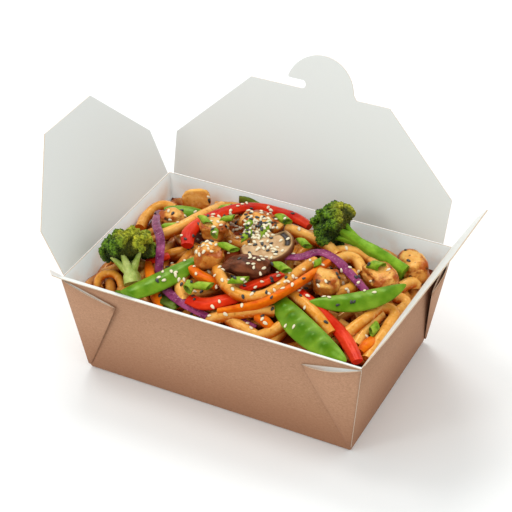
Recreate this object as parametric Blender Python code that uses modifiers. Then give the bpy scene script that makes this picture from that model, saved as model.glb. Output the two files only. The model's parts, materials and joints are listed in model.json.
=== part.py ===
"""Folded kraft take-away box, lid flaps open, filled with stir-fried noodles and vegetables.

Metres, +Z up. The origin is the middle of the underside of the base, +X runs along the
long side and -Y is the front. Each lid flap turns on its crease at the rim. The food is
laid on a mound: a place is read where its line of sight crosses the rim plane, and on_heap
slides it along that line to its real height.
"""

import math
import random

import bmesh
import bpy
from mathutils import Matrix, Vector, bvhtree, noise

MM = 0.001

# The box: a flared tray of one board, with the corner webs folded outside.
BASE_LENGTH, BASE_WIDTH = 159 * MM, 102 * MM
RIM_LENGTH, RIM_WIDTH = 175 * MM, 117 * MM
BOX_HEIGHT = 64 * MM
BOARD = 0.6 * MM
CREASE_GAP = 0.3 * MM
FLAP_START = 0.8 * MM
BACK_RIGHT_SPREAD = 2.5 * MM
WEB_REACH, WEB_DROP = 32 * MM, 9 * MM
LIP_WIDTH, EAR_LENGTH = 1.1 * MM, 10 * MM

# The lid flaps, measured up from the crease, with half widths across.
LEFT_LEAN, RIGHT_LEAN, BACK_LEAN = 23.5, 28.8, 16.8
LEFT_FLAP = {"root": 56.5, "shoulder": (28.0, 57.5), "top": (68.4, 23.0)}
RIGHT_FLAP = {"root": 56.5, "shoulder": (27.0, 57.5), "top": (62.0, 23.0)}
BACK_FLAP = {"root": 84.5, "shoulder": (25.5, 85.3), "top": (67.5, 42.3)}
TAB_RADIUS, TAB_FILLET = 20.6 * MM, 2.0 * MM
SLOT_HEIGHT, SLOT_END = 4.7 * MM, -8.6 * MM

# The mound of food, and how far pieces keep from each other and from the board.
HEAP_FLOOR_GAP = 0.4 * MM
HEAP_EDGE, HEAP_RISE = 51 * MM, 14 * MM
HEAP_HALF_LENGTH, HEAP_HALF_WIDTH = 84 * MM, 55 * MM
HEAP_WAVE = 1.2 * MM
SIGHT_X, SIGHT_Y = 0.647, -1.248
PIECE_GAP = 0.45 * MM
WALL_GAP = 0.5 * MM
NOODLE_RADIUS = 3.3 * MM
WELD = 0.01 * MM
SHARP_ANGLE = math.radians(50)

# Sesame: how many seeds, where they fell, their size and how far each keeps from other pieces.
SESAME_COUNT = 36
SESAME_MIDDLE, SESAME_SPREAD = (0 * MM, -2 * MM), (38 * MM, 24 * MM)
SESAME_SIZE = (3.1 * MM, 1.9 * MM, 1.4 * MM)
SESAME_CLEAR = 2.3 * MM

ROOT = {"name": "noodle_box"}
STEMS = {}


def main():
    clear_scene()
    ROOT["parts"] = new_collection("noodle_box")
    ROOT["helpers"] = new_collection("helpers")
    ROOT["helpers"].hide_render = True
    paint = materials()
    build_tray(paint["kraft_board"])
    build_flaps(paint["kraft_board"])
    toppings = build_toppings(paint)
    heap = build_noodle_heap(paint["noodle"])
    pieces = fit_together(heap, toppings)
    scatter_sesame(pieces)
    for obj in ROOT["parts"].objects:
        if obj.type == "MESH":
            obj.data.shade_smooth()
            obj.data.set_sharp_from_angle(angle=SHARP_ANGLE)
    for obj in list(ROOT["helpers"].objects):
        bpy.data.objects.remove(obj)


# ---------------------------------------------------------------- scene helpers

def clear_scene():
    for obj in list(bpy.data.objects):
        bpy.data.objects.remove(obj)


def new_collection(name):
    collection = bpy.data.collections.new(name)
    bpy.context.scene.collection.children.link(collection)
    return collection


def materials():
    """One plain material for each kind of board or food, by name."""
    looks = {
        "kraft_board": ((0.45, 0.26, 0.15), 0.8),
        "noodle": ((0.72, 0.36, 0.08), 0.35),
        "broccoli": ((0.07, 0.20, 0.02), 0.55),
        "pea_pod": ((0.12, 0.38, 0.03), 0.35),
        "red_pepper": ((0.66, 0.05, 0.02), 0.3),
        "carrot": ((0.84, 0.20, 0.01), 0.35),
        "red_cabbage": ((0.16, 0.03, 0.16), 0.35),
        "mushroom": ((0.25, 0.13, 0.07), 0.5),
        "chicken": ((0.72, 0.36, 0.08), 0.4),
        "spring_onion": ((0.22, 0.48, 0.05), 0.35),
    }
    made = {}
    for name, (colour, roughness) in looks.items():
        material = bpy.data.materials.new(name)
        material.use_nodes = True
        shader = material.node_tree.nodes["Principled BSDF"]
        shader.inputs["Base Color"].default_value = (*colour, 1)
        shader.inputs["Roughness"].default_value = roughness
        shader.inputs["Metallic"].default_value = 0
        made[name] = material
    return made


def add_mesh(name, mesh, material=None, collection="parts"):
    obj = bpy.data.objects.new(name, mesh)
    ROOT[collection].objects.link(obj)
    if collection == "helpers":
        obj.hide_render = True
        obj.display_type = "WIRE"
    if material:
        mesh.materials.clear()
        mesh.materials.append(material)
    return obj


def mesh_of(shape, name):
    """A new mesh from a bmesh, which is freed."""
    bmesh.ops.recalc_face_normals(shape, faces=shape.faces)
    mesh = bpy.data.meshes.new(name)
    shape.to_mesh(mesh)
    shape.free()
    return mesh


def baked(obj, name, material=None):
    """The object's evaluated shape as a plain welded mesh object. The object goes."""
    bpy.context.view_layer.update()
    graph = bpy.context.evaluated_depsgraph_get()
    mesh = bpy.data.meshes.new_from_object(obj.evaluated_get(graph))
    mesh.transform(obj.matrix_world)
    shape = bmesh.new()
    shape.from_mesh(mesh)
    if obj.type == "CURVE":
        bmesh.ops.remove_doubles(shape, verts=shape.verts, dist=WELD)
    bpy.data.meshes.remove(mesh)
    collection = "parts" if obj.name in ROOT["parts"].objects else "helpers"
    bpy.data.objects.remove(obj)
    return add_mesh(name, mesh_of(shape, name), material, collection)


def boolean(obj, operation, others):
    """The object after one Boolean with all the others, which are then removed."""
    group = new_collection("operands")
    for other in others:
        group.objects.link(other)
    step = obj.modifiers.new("boolean", "BOOLEAN")
    step.operation = operation
    step.operand_type = "COLLECTION"
    step.collection = group
    step.solver = "MANIFOLD"
    material = obj.data.materials[0] if obj.data.materials else None
    made = baked(obj, obj.name, material)
    bpy.data.collections.remove(group)
    for other in others:
        bpy.data.objects.remove(other)
    keep_largest(made)
    return made


def keep_largest(obj):
    """Drops the loose scraps that a cut leaves beside the piece."""
    shape = bmesh.new()
    shape.from_mesh(obj.data)
    islands, seen = [], set()
    for start in shape.verts:
        if start in seen:
            continue
        island, front = {start}, [start]
        while front:
            for edge in front.pop().link_edges:
                for vert in edge.verts:
                    if vert not in island:
                        island.add(vert)
                        front.append(vert)
        seen |= island
        islands.append(island)
    islands.sort(key=len)
    scraps = [vert for island in islands[:-1] for vert in island]
    bmesh.ops.delete(shape, geom=scraps, context="VERTS")
    bmesh.ops.dissolve_degenerate(shape, edges=shape.edges, dist=2 * WELD)
    shape.to_mesh(obj.data)
    shape.free()


# ---------------------------------------------------------------- the box

def tray_point(side, end, height):
    """A place in the tray at a height: side runs from -1 left to 1 right, end from -1 front to 1 back."""
    share = height / BOX_HEIGHT
    x = side * (BASE_LENGTH / 2 + (RIM_LENGTH - BASE_LENGTH) / 2 * share)
    y = end * (BASE_WIDTH / 2 + (RIM_WIDTH - BASE_WIDTH) / 2 * share)
    spread = BACK_RIGHT_SPREAD * share * max(0, side) * (1 + end) / 2
    return Vector((x + spread, y, height))


def frustum(inset, top, floor=0.0):
    """A closed block with the tray's flare, drawn in by inset, from floor up to top."""
    shape = bmesh.new()
    bmesh.ops.create_cube(shape, size=2)
    for vert in shape.verts:
        height = top if vert.co.z > 0 else floor
        corner = tray_point(vert.co.x, vert.co.y, height)
        corner -= Vector((vert.co.x * inset, vert.co.y * inset, 0))
        vert.co = corner
    return shape


def build_tray(board):
    """Base and four flared walls of one board, with a web folded out at each corner."""
    shape = frustum(0, BOX_HEIGHT - CREASE_GAP)
    top = max(shape.faces, key=lambda face: face.calc_center_median().z)
    bmesh.ops.delete(shape, geom=[top], context="FACES_ONLY")
    tray = add_mesh("box_tray", mesh_of(shape, "box_tray"), board)
    wall = tray.modifiers.new("board", "SOLIDIFY")
    wall.thickness = BOARD
    wall.offset = -1
    wall.use_even_offset = True
    tray = baked(tray, "box_tray", board)
    front, back, right = Vector((0, -1, 0)), Vector((0, 1, 0)), Vector((1, 0, 0))
    webs = [
        corner_web(-1, -1, right, front, bulge=0.9 * MM, spring=1.4 * MM),
        corner_web(1, -1, -right, front, bulge=3.4 * MM, spring=0.3 * MM),
        corner_web(-1, 1, right, back, bulge=0.9 * MM, spring=0.6 * MM),
        corner_web(1, 1, front, right, bulge=1.5 * MM, spring=2.3 * MM),
    ]
    boolean(tray, "UNION", webs + [front_lip()])


def corner_web(side, end, along, outward, bulge, spring):
    """A corner web: a double triangle of board folded back on the outside of a wall.

    One ply runs from the corner edge to the fold and the other back, so its top is open by
    bulge. The fold stands off the wall by spring at its upper tip.
    """
    columns, rows = 5, 3
    lift = outward * BOARD * 0.6
    bottom = tray_point(side, end, 0.6 * MM) + lift
    rim = tray_point(side, end, BOX_HEIGHT - 1.2 * MM) + lift
    tip = tray_point(side, end, BOX_HEIGHT - WEB_DROP) + along * WEB_REACH
    tip += outward * (spring + BOARD * 1.2)
    shape = bmesh.new()
    grid = []
    for row in range(rows + 1):
        up = 0.04 + 0.96 * row / rows
        line = []
        for column in range(2 * columns + 1):
            across = column / columns if column <= columns else 2 - column / columns
            ply = 1 if column <= columns else -1
            belly = math.sin(math.pi * across) * up
            point = bottom.lerp(rim, up).lerp(bottom.lerp(tip, up), across)
            point += outward * (bulge * max(ply, 0) * belly + ply * 0.5 * BOARD * (1 - across**8))
            line.append(shape.verts.new(point))
        grid.append(line)
    for below, above in zip(grid, grid[1:]):
        for column in range(2 * columns):
            shape.faces.new((below[column], below[column + 1], above[column + 1], above[column]))
    web = add_mesh("web", mesh_of(shape, "web"), collection="helpers")
    ply = web.modifiers.new("board", "SOLIDIFY")
    ply.thickness = BOARD * 0.8
    ply.offset = 0
    return baked(web, "web")


def front_lip():
    """The narrow turned-out edge of the front wall, which runs on past the left corner as an ear."""
    left, right = tray_point(-1, -1, BOX_HEIGHT), tray_point(1, -1, BOX_HEIGHT)
    inner = left.y + 0.4 * MM
    outline = [
        (right.x - 0.5 * MM, inner),
        (left.x, inner + 0.8 * MM),
        (left.x - EAR_LENGTH * 0.7, left.y + 2.6 * MM),
        (left.x - EAR_LENGTH, left.y + 3.4 * MM),
        (left.x - EAR_LENGTH * 0.6, left.y - 0.6 * MM),
        (left.x, left.y - LIP_WIDTH),
        (right.x - 0.5 * MM, left.y - LIP_WIDTH * 0.4),
    ]
    lip = flat_shape("lip", outline)
    lip.location.z = BOX_HEIGHT - CREASE_GAP - BOARD * 0.35
    return baked(lip, "lip")


def flat_shape(name, outline, material=None, collection="helpers"):
    """A flat outline cut from the board, lying in the object's own XY plane."""
    curve = bpy.data.curves.new(name, "CURVE")
    curve.dimensions = "2D"
    curve.fill_mode = "BOTH"
    curve.extrude = BOARD / 2
    spline = curve.splines.new("POLY")
    spline.points.add(len(outline) - 1)
    for point, (x, y) in zip(spline.points, outline):
        point.co = (x, y, 0, 1)
    spline.use_cyclic_u = True
    return add_mesh(name, curve, material, collection)


def flap_outline(flap):
    """Root, shoulders and narrow top of a flap, from the right of the crease round to the left."""
    root = flap["root"] * MM
    rise, half = (value * MM for value in flap["shoulder"])
    height, top = (value * MM for value in flap["top"])
    right = [(root, FLAP_START), (half, rise), (top, height)]
    return right + [(-x, y) for x, y in reversed(right)]


def hook_tab(height):
    """The round locking tab on the back flap's top edge, from right to left, undercut by its slot."""
    def on_circle(degrees):
        angle = math.radians(degrees)
        return TAB_RADIUS * math.cos(angle), height + TAB_RADIUS * math.sin(angle)

    foot = [(TAB_RADIUS + TAB_FILLET, height), (TAB_RADIUS + TAB_FILLET * 0.3, height + TAB_FILLET * 0.3)]
    crown = [on_circle(degrees) for degrees in range(8, 161, 8)]
    under = height + SLOT_HEIGHT
    hook = [(-math.sqrt(TAB_RADIUS**2 - SLOT_HEIGHT**2) + 0.4 * MM, under)]
    slot_middle = height + SLOT_HEIGHT / 2
    slot = []
    for degrees in range(90, -91, -30):
        angle = math.radians(degrees)
        slot.append((SLOT_END - SLOT_HEIGHT / 2 + math.cos(angle) * SLOT_HEIGHT / 2,
                     slot_middle + math.sin(angle) * SLOT_HEIGHT / 2))
    return foot + crown + hook + slot


def build_flaps(board):
    """Two side flaps and the back flap with its tab, each with its origin on its crease."""
    back = flap_outline(BACK_FLAP)
    back = back[:3] + hook_tab(BACK_FLAP["top"][0] * MM) + back[3:]
    plans = [
        ("flap_left", flap_outline(LEFT_FLAP), (-1, -1), (-1, 1), LEFT_LEAN),
        ("flap_right", flap_outline(RIGHT_FLAP), (1, 1), (1, -1), RIGHT_LEAN),
        ("flap_back", back, (-1, 1), (1, 1), BACK_LEAN),
    ]
    for name, outline, start, end, lean in plans:
        start, end = tray_point(*start, BOX_HEIGHT), tray_point(*end, BOX_HEIGHT)
        crease = end - start
        flap = flat_shape(name, outline, board, "parts")
        flap.location = (0, start.y, BOX_HEIGHT) if name == "flap_back" else (start + end) / 2
        flap.rotation_euler = (math.radians(90 - lean), 0, math.atan2(crease.y, crease.x))


# ---------------------------------------------------------------- laying the food

def heap_level(x, y):
    """How high the mound of noodles stands at a place in the box."""
    across = max(0.0, 1 - abs(x / HEAP_HALF_LENGTH) ** 2.5)
    along = max(0.0, 1 - abs(y / HEAP_HALF_WIDTH) ** 2.5)
    return HEAP_EDGE + HEAP_RISE * across * along


def on_heap(x, y, lift):
    """The point above the mound by lift that is seen at x, y of the rim plane. All in millimetres."""
    place = Vector((x, y, 0)) * MM
    height = BOX_HEIGHT
    for _ in range(8):
        rise = height - BOX_HEIGHT
        point = Vector((place.x + SIGHT_X * rise, place.y + SIGHT_Y * rise, height))
        height = heap_level(point.x, point.y) + lift * MM
    point.z = height
    return point


def path_curve(name, points, radii, steps):
    """A smooth curve through points, with a width at each."""
    curve = bpy.data.curves.new(name, "CURVE")
    curve.dimensions = "3D"
    curve.use_fill_caps = True
    curve.twist_mode = "Z_UP"
    curve.resolution_u = steps
    spline = curve.splines.new("BEZIER")
    spline.bezier_points.add(len(points) - 1)
    for point, place, radius in zip(spline.bezier_points, points, radii):
        point.co = place
        point.handle_left_type = point.handle_right_type = "AUTO"
        point.radius = radius
    return curve


def tube(name, points, radius, radii=None, steps=2, sides=1):
    """A round strand, such as a noodle, a stem or a branch."""
    curve = path_curve(name, points, radii or [1] * len(points), steps)
    curve.bevel_depth = radius
    curve.bevel_resolution = sides
    return baked(add_mesh(name, curve, collection="helpers"), name)


def section(width, thickness, arch):
    """A rounded flat section for a cut strip. Arch lifts its middle, as in a slice of a hollow pepper."""
    curve = bpy.data.curves.new("section", "CURVE")
    curve.dimensions = "2D"
    spline = curve.splines.new("POLY")
    outline = [(0.6, 1), (1, 0), (0.6, -1), (-0.6, -1), (-1, 0), (-0.6, 1)]
    spline.points.add(len(outline) - 1)
    for point, (x, y) in zip(spline.points, outline):
        point.co = (x * width / 2, y * thickness / 2 + arch * (1 - x * x), 0, 1)
    spline.use_cyclic_u = True
    return add_mesh("section", curve, collection="helpers")


def strip(name, places, width, thickness, material, arch=0.0, ends=0.7, tilt=0.0):
    """A cut strip of vegetable laid over the mound."""
    radii = [ends] + [1] * (len(places) - 2) + [ends]
    curve = path_curve(name, [on_heap(*place) for place in places], radii, 2)
    for point in curve.splines[0].bezier_points:
        point.tilt = math.radians(tilt)
    profile = section(width * MM, thickness * MM, arch * MM)
    curve.bevel_mode = "OBJECT"
    curve.bevel_object = profile
    made = baked(add_mesh(name, curve), name, material)
    bpy.data.objects.remove(profile)
    return made


def frame_at(place, heading, pitch=0.0, roll=0.0):
    """Places a piece on the mound, turned to a heading in the plan and then tipped, in degrees."""
    turn = Matrix.Rotation(math.radians(heading), 4, "Z")
    tip = Matrix.Rotation(math.radians(pitch), 4, "Y") @ Matrix.Rotation(math.radians(roll), 4, "X")
    return Matrix.Translation(on_heap(*place)) @ turn @ tip


def placed(shape, name, frame, material):
    """A finished piece from a bmesh drawn about the origin."""
    bmesh.ops.transform(shape, matrix=frame, verts=shape.verts)
    return add_mesh(name, mesh_of(shape, name), material)


def lump(name, place, size, material, heading=0.0, pitch=0.0, roll=0.0, rough=0.12, seed=0):
    """An uneven chunk, such as a piece of chicken: a ball squared up, scaled and roughened."""
    shape = bmesh.new()
    bmesh.ops.create_icosphere(shape, subdivisions=2, radius=1)
    offset = Vector((seed * 3.1, seed * 1.7, seed * 0.9))
    for vert in shape.verts:
        squared = Vector([math.copysign(abs(value) ** 0.75, value) for value in vert.co])
        swell = 1 + rough * 2 * noise.noise(vert.co * 1.3 + offset)
        vert.co = Vector([squared[i] * swell * size[i] * MM / 2 for i in range(3)])
    return placed(shape, name, frame_at(place, heading, pitch, roll), material)


def pod(name, place, length, width, heading, material, bend=0.0, pitch=0.0, roll=0.0, peas=4, bump=1.0):
    """A flat pea pod: a flattened ball drawn to points, bent in its plane, with peas showing."""
    seats = [-0.55 + 1.1 * index / (peas - 1) for index in range(peas)]
    shape = bmesh.new()
    bmesh.ops.create_uvsphere(shape, u_segments=8, v_segments=12, radius=1)
    for vert in shape.verts:
        along, across, up = vert.co.z, vert.co.x, vert.co.y
        taper = max(0.02, 1 - along * along) ** 0.12
        pea = sum(math.exp(-((along - seat) / 0.1) ** 2) for seat in seats)
        thick = (2.2 + bump * pea * (1 - min(1, abs(across)))) * MM
        x = along * length * MM / 2
        vert.co = (x, across * taper * width * MM / 2 + bend * MM * (1 - along * along), up * taper * thick)
    return placed(shape, name, frame_at(place, heading, pitch, roll), material)


def mushroom_slice(name, place, radius, thickness, material, heading, pitch, roll):
    """A lengthwise slice of a mushroom: the round edge of its cap with a short wide stem behind."""
    curve = bpy.data.curves.new(name, "CURVE")
    curve.dimensions = "2D"
    curve.fill_mode = "BOTH"
    curve.extrude = (thickness / 2 - 0.9) * MM
    curve.bevel_depth = 0.9 * MM
    curve.bevel_resolution = 0
    cap = [(radius * math.cos(math.radians(a)), radius * 1.2 * math.sin(math.radians(a)))
           for a in range(-112, 113, 28)]
    stem = [(-radius * 0.4, radius * 0.5), (-radius * 1.05, radius * 0.45),
            (-radius * 1.05, -radius * 0.4), (-radius * 0.4, -radius * 0.5)]
    spline = curve.splines.new("POLY")
    spline.points.add(len(cap + stem) - 1)
    for point, (x, y) in zip(spline.points, cap + stem):
        point.co = (x * MM, y * MM, 0, 1)
    spline.use_cyclic_u = True
    obj = add_mesh(name, curve)
    obj.matrix_world = frame_at(place, heading, pitch, roll)
    return baked(obj, name, material)


def onion_cut(name, place, length, width, heading, material, pitch=0.0, roll=0.0):
    """A short slanting cut of spring onion."""
    shape = bmesh.new()
    bmesh.ops.create_cone(shape, cap_ends=True, segments=8, radius1=1, radius2=1, depth=2)
    for vert in shape.verts:
        slant = vert.co.x * (0.2 if vert.co.z > 0 else 0.28)
        x = (vert.co.z * 0.42 + slant) * length
        vert.co = Vector((x, vert.co.x * width / 2, vert.co.y * width * 0.38)) * MM
    return placed(shape, name, frame_at(place, heading, pitch, roll), material)


def floret(name, crown, foot, radius, height, stem_radius, material, branches, buds, seed):
    """A broccoli floret: a stem that forks into branches under a crown of bud clusters."""
    top, bottom = on_heap(*crown), on_heap(*foot)
    axis = (top - bottom).normalized()
    place = Matrix.Translation(top) @ axis.to_track_quat("Z", "Y").to_matrix().to_4x4()
    rng = random.Random(seed)
    shape = bmesh.new()
    bmesh.ops.create_icosphere(shape, subdivisions=2, radius=1)
    for vert in shape.verts:
        tall = height if vert.co.z > 0 else height * 0.45
        vert.co = Vector((vert.co.x * radius, vert.co.y * radius, vert.co.z * tall)) * 0.86 * MM
    body = placed(shape, name, place, material)
    pieces = []
    for index in range(buds):
        tilt = math.acos(1 - 1.2 * (index + 0.5) / buds)
        spin = index * 2.39996 + rng.uniform(-0.2, 0.2)
        tall = height if tilt < math.pi / 2 else height * 0.5
        reach = Vector((math.sin(tilt) * math.cos(spin) * radius, math.sin(tilt) * math.sin(spin) * radius,
                        math.cos(tilt) * tall))
        pieces.append(bud(place @ (reach * 0.83 * MM), rng.uniform(0.28, 0.36) * radius * MM, rng))
    neck = top - axis * height * 0.2 * MM
    pieces.append(tube("stem", [bottom, bottom.lerp(neck, 0.5), neck], stem_radius * MM, [1, 0.95, 1.2], steps=2))
    fork = bottom.lerp(neck, 0.5)
    for index in range(branches):
        spin = 2 * math.pi * (index + 0.3) / branches
        side = place.to_3x3() @ Vector((math.cos(spin), math.sin(spin), 0)) * radius * 0.6 * MM
        reach = [fork, fork.lerp(neck + side, 0.6), neck + side]
        pieces.append(tube("branch", reach, stem_radius * 0.52 * MM, [1, 0.9, 1.1], steps=1, sides=0))
    STEMS[name] = {"fork": fork, "axis": axis, "reach": stem_radius * 1.6 * MM}
    return boolean(body, "UNION", pieces)


def bud(middle, radius, rng):
    """One cluster of buds on a floret."""
    shape = bmesh.new()
    bmesh.ops.create_icosphere(shape, subdivisions=1, radius=radius)
    spin = Matrix.Rotation(rng.uniform(0, 6.28), 4, Vector((rng.random(), rng.random(), 1)))
    bmesh.ops.transform(shape, matrix=Matrix.Translation(middle) @ spin, verts=shape.verts)
    return add_mesh("bud", mesh_of(shape, "bud"), collection="helpers")


# ---------------------------------------------------------------- the food

def build_toppings(paint):
    """Every separate piece of food, from the topmost down, so that a lower one gives way."""
    made = spring_onions(paint["spring_onion"])
    pea, red, orange = paint["pea_pod"], paint["red_pepper"], paint["carrot"]
    purple, meat, brown, flower = paint["red_cabbage"], paint["chicken"], paint["mushroom"], paint["broccoli"]
    made += [
        pod("pea_pod_left", (-41, -36, 9.5), 64, 11.5, 60, pea, bend=-3, pitch=-5, roll=16, peas=5, bump=0.5),
        pod("pea_pod_front", (48.5, -38.6, 8.5), 65, 14.5, -29, pea, bend=-3.5, pitch=4, roll=20, peas=5, bump=1.6),
        pod("pea_pod_right", (60, -2.5, 11), 53, 11.5, 42, pea, bend=-5, roll=24, peas=5, bump=0.6),
        floret("broccoli_right", (25, 46.5, 14), (76, 25, 9), 14, 11.5, 4.6, flower, 3, 17, 3),
        strip("cabbage_arch", [(9, 9, 8), (19, 14, 9.5), (26, 22, 10.5), (34, 21, 11), (47, 13, 10), (66, -1, 7)],
              5.8, 2.4, purple, ends=0.75),
        strip("carrot_long", [(2, -49, 6), (11, -41, 8), (19, -32, 9.5), (25, -18, 10.5), (30, -2, 10.5), (35, 18, 9)],
              3.8, 3.8, orange, ends=0.95),
        mushroom_slice("mushroom_slice", (-1, 14, 10), 12.5, 5.5, brown, -38, 8, 8),
        lump("mushroom_cap", (-3, -7, 8.5), (27, 15, 10), brown, heading=12, roll=14, rough=0.1, seed=5),
        lump("chicken_1", (-25, -6, 8.5), (16, 17, 13), meat, heading=25, pitch=6, seed=1),
        strip("cabbage_left", [(-73, 19, 8), (-67, 8, 11), (-55, -7, 12), (-49, -19, 10), (-42, -33, 3.5),
                               (-33, -43, 4), (-20, -50, 5), (-1, -56, 6)], 5.0, 2.4, purple, ends=0.7, tilt=15),
        floret("broccoli_left", (-67, -22, 13), (-51, -46, 4), 15, 10.5, 4.8, flower, 4, 18, 8),
        strip("pepper_arc", [(-41, -3, 7), (-46, 9, 8), (-44, 22, 8), (-39, 33, 8.5), (-32, 42, 9), (-23, 47, 9),
                             (-12, 48, 9), (-1, 47, 9), (11, 43, 7)], 8.5, 5, red, arch=0.7, ends=0.85),
        strip("pepper_long", [(28, -13, 6), (42, -21, 6), (53, -28, 6), (65, -36, 5.5), (75, -45, 6), (84, -55, 7)],
              8, 4.6, red, arch=0.6, ends=0.85),
        strip("pepper_middle", [(4, -27, 4.5), (10, -16, 5.5), (18, -5, 5.5)], 8, 4.6, red, arch=0.6),
        strip("pepper_front", [(-17, -46, 5), (-8, -46, 6), (0, -39, 5), (8, -29, 3)], 10, 5.5, red, arch=0.8),
        lump("chicken_2", (41, -1, 7), (14, 19, 12), meat, heading=20, pitch=4, seed=2),
        lump("chicken_3", (66, 15, 6.5), (23, 17, 12), meat, heading=-38, roll=8, seed=3),
        lump("chicken_4", (79, 31, 6), (25, 16, 14), meat, heading=-48, roll=12, seed=4),
        lump("chicken_5", (-35, 17, 7), (17, 15, 11), meat, heading=10, seed=6),
        lump("chicken_6", (-14, 33, 8), (24, 17, 9), meat, heading=-5, seed=7),
        pod("pea_pod_back", (-59, 26, 6), 25, 9, 14, pea, bend=-1, roll=14, peas=2, bump=0.4),
        lump("chicken_7", (-62, 16, 5), (15, 14, 10), meat, heading=35, seed=8),
        strip("carrot_left", [(-52, -28, 3), (-47, -35, 4), (-41, -43, 4.5), (-33, -53, 4), (-26, -60, 3)], 5, 4.4,
              orange, ends=0.95),
        strip("carrot_bent", [(-29, -21, 5.5), (-21, -25, 6), (-14, -27, 5), (-8, -30, 3.5)], 5.5, 4, orange),
        strip("carrot_front", [(22, -44, 4), (28, -46, 5), (36, -52, 3)], 5, 4.2, orange, ends=0.9),
        strip("carrot_corner", [(83, -48, 3), (84, -42, 4), (86, -34, 3)], 6, 4.4, orange, ends=0.9),
        strip("cabbage_front", [(8, -50, 1.5), (16, -51, 2.5), (26, -53, 1.5)], 5, 2.4, purple, ends=0.7),
        strip("pepper_small", [(-54, -26, 3), (-50, -21, 4), (-46, -16, 3)], 7, 4.4, red, arch=0.6),
        lump("noodle_sheet", (-59, 39, 8), (16, 4, 13), paint["noodle"], heading=24, pitch=-8, roll=-24,
             rough=0.08, seed=9),
        strip("bean_stalk", [(-37, 53, 8), (-31, 52, 8), (-24, 50, 7)], 5.5, 5, pea, ends=0.95),
        lump("leaf_front", (-26, -54, 3), (15, 8, 4), flower, heading=-15, rough=0.2, seed=12),
    ]
    return made


def spring_onions(green):
    """The cuts of spring onion, each with its place, length, width and heading."""
    cuts = [
        ((-59, 9, 9), 10, 4.5, 32), ((-43, 22, 12), 10, 5, -38), ((-33, 14, 12), 8, 5, 112),
        ((-33, 29, 11), 9, 4.5, 42), ((-20, 5, 13), 12, 5, -12), ((-20, 29, 13.5), 10, 4.5, 88),
        ((-10, 29, 14.5), 14, 5.5, 86), ((-16, 19, 14), 11, 4.5, 76), ((-5, 42, 12), 9, 6, -30),
        ((15, 26, 12), 9, 5, -36), ((14, 1, 13), 11, 5.5, -26), ((-1, -19, 13), 10, 5, 28),
        ((-22, -36, 9), 7, 6.5, 100), ((-16, -32, 9), 11, 5.5, 16), ((59, 24, 12), 8, 7, 0),
        ((29, 13, 13), 6, 4.5, 60), ((81, -27, 6), 9, 5.5, 84), ((-40, 39, 8), 8, 4, 38),
    ]
    return [onion_cut(f"spring_onion_{index:02d}", place, length, width, heading, green, roll=index * 7 % 20)
            for index, (place, length, width, heading) in enumerate(cuts, 1)]


def build_noodle_heap(dough):
    """The mound: a core out to the walls, with the noodles that show fused on."""
    shape = bmesh.new()
    bmesh.ops.create_grid(shape, x_segments=10, y_segments=7, size=1)
    rim = [edge for edge in shape.edges if edge.is_boundary]
    for vert in shape.verts:
        x, y = vert.co.x, vert.co.y
        height = heap_level(x * HEAP_HALF_LENGTH, y * HEAP_HALF_WIDTH)
        height += HEAP_WAVE * noise.noise(Vector((x * 5, y * 4, 0.3)))
        vert.co = inside_walls(x, y, height)
    skirt = bmesh.ops.extrude_edge_only(shape, edges=rim)["geom"]
    for vert in [item for item in skirt if isinstance(item, bmesh.types.BMVert)]:
        above = inside_walls(1, 1, vert.co.z)
        vert.co = inside_walls(vert.co.x / above.x, vert.co.y / above.y, BOARD + HEAP_FLOOR_GAP)
    foot = [item for item in skirt if isinstance(item, bmesh.types.BMEdge) and item.is_boundary]
    bmesh.ops.contextual_create(shape, geom=foot)
    core = add_mesh("noodle_heap", mesh_of(shape, "noodle_heap"), dough)
    strands = [tube("noodle", [on_heap(*place) for place in places], NOODLE_RADIUS * size)
               for places, size in noodle_paths()]
    return boolean(core, "UNION", strands)


def inside_walls(x, y, height):
    """The place inside the walls at a height, with x and y running from -1 to 1."""
    point = tray_point(x, y, height)
    return Vector((point.x - x * (BOARD + WALL_GAP), point.y - y * (BOARD + WALL_GAP), height))


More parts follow.
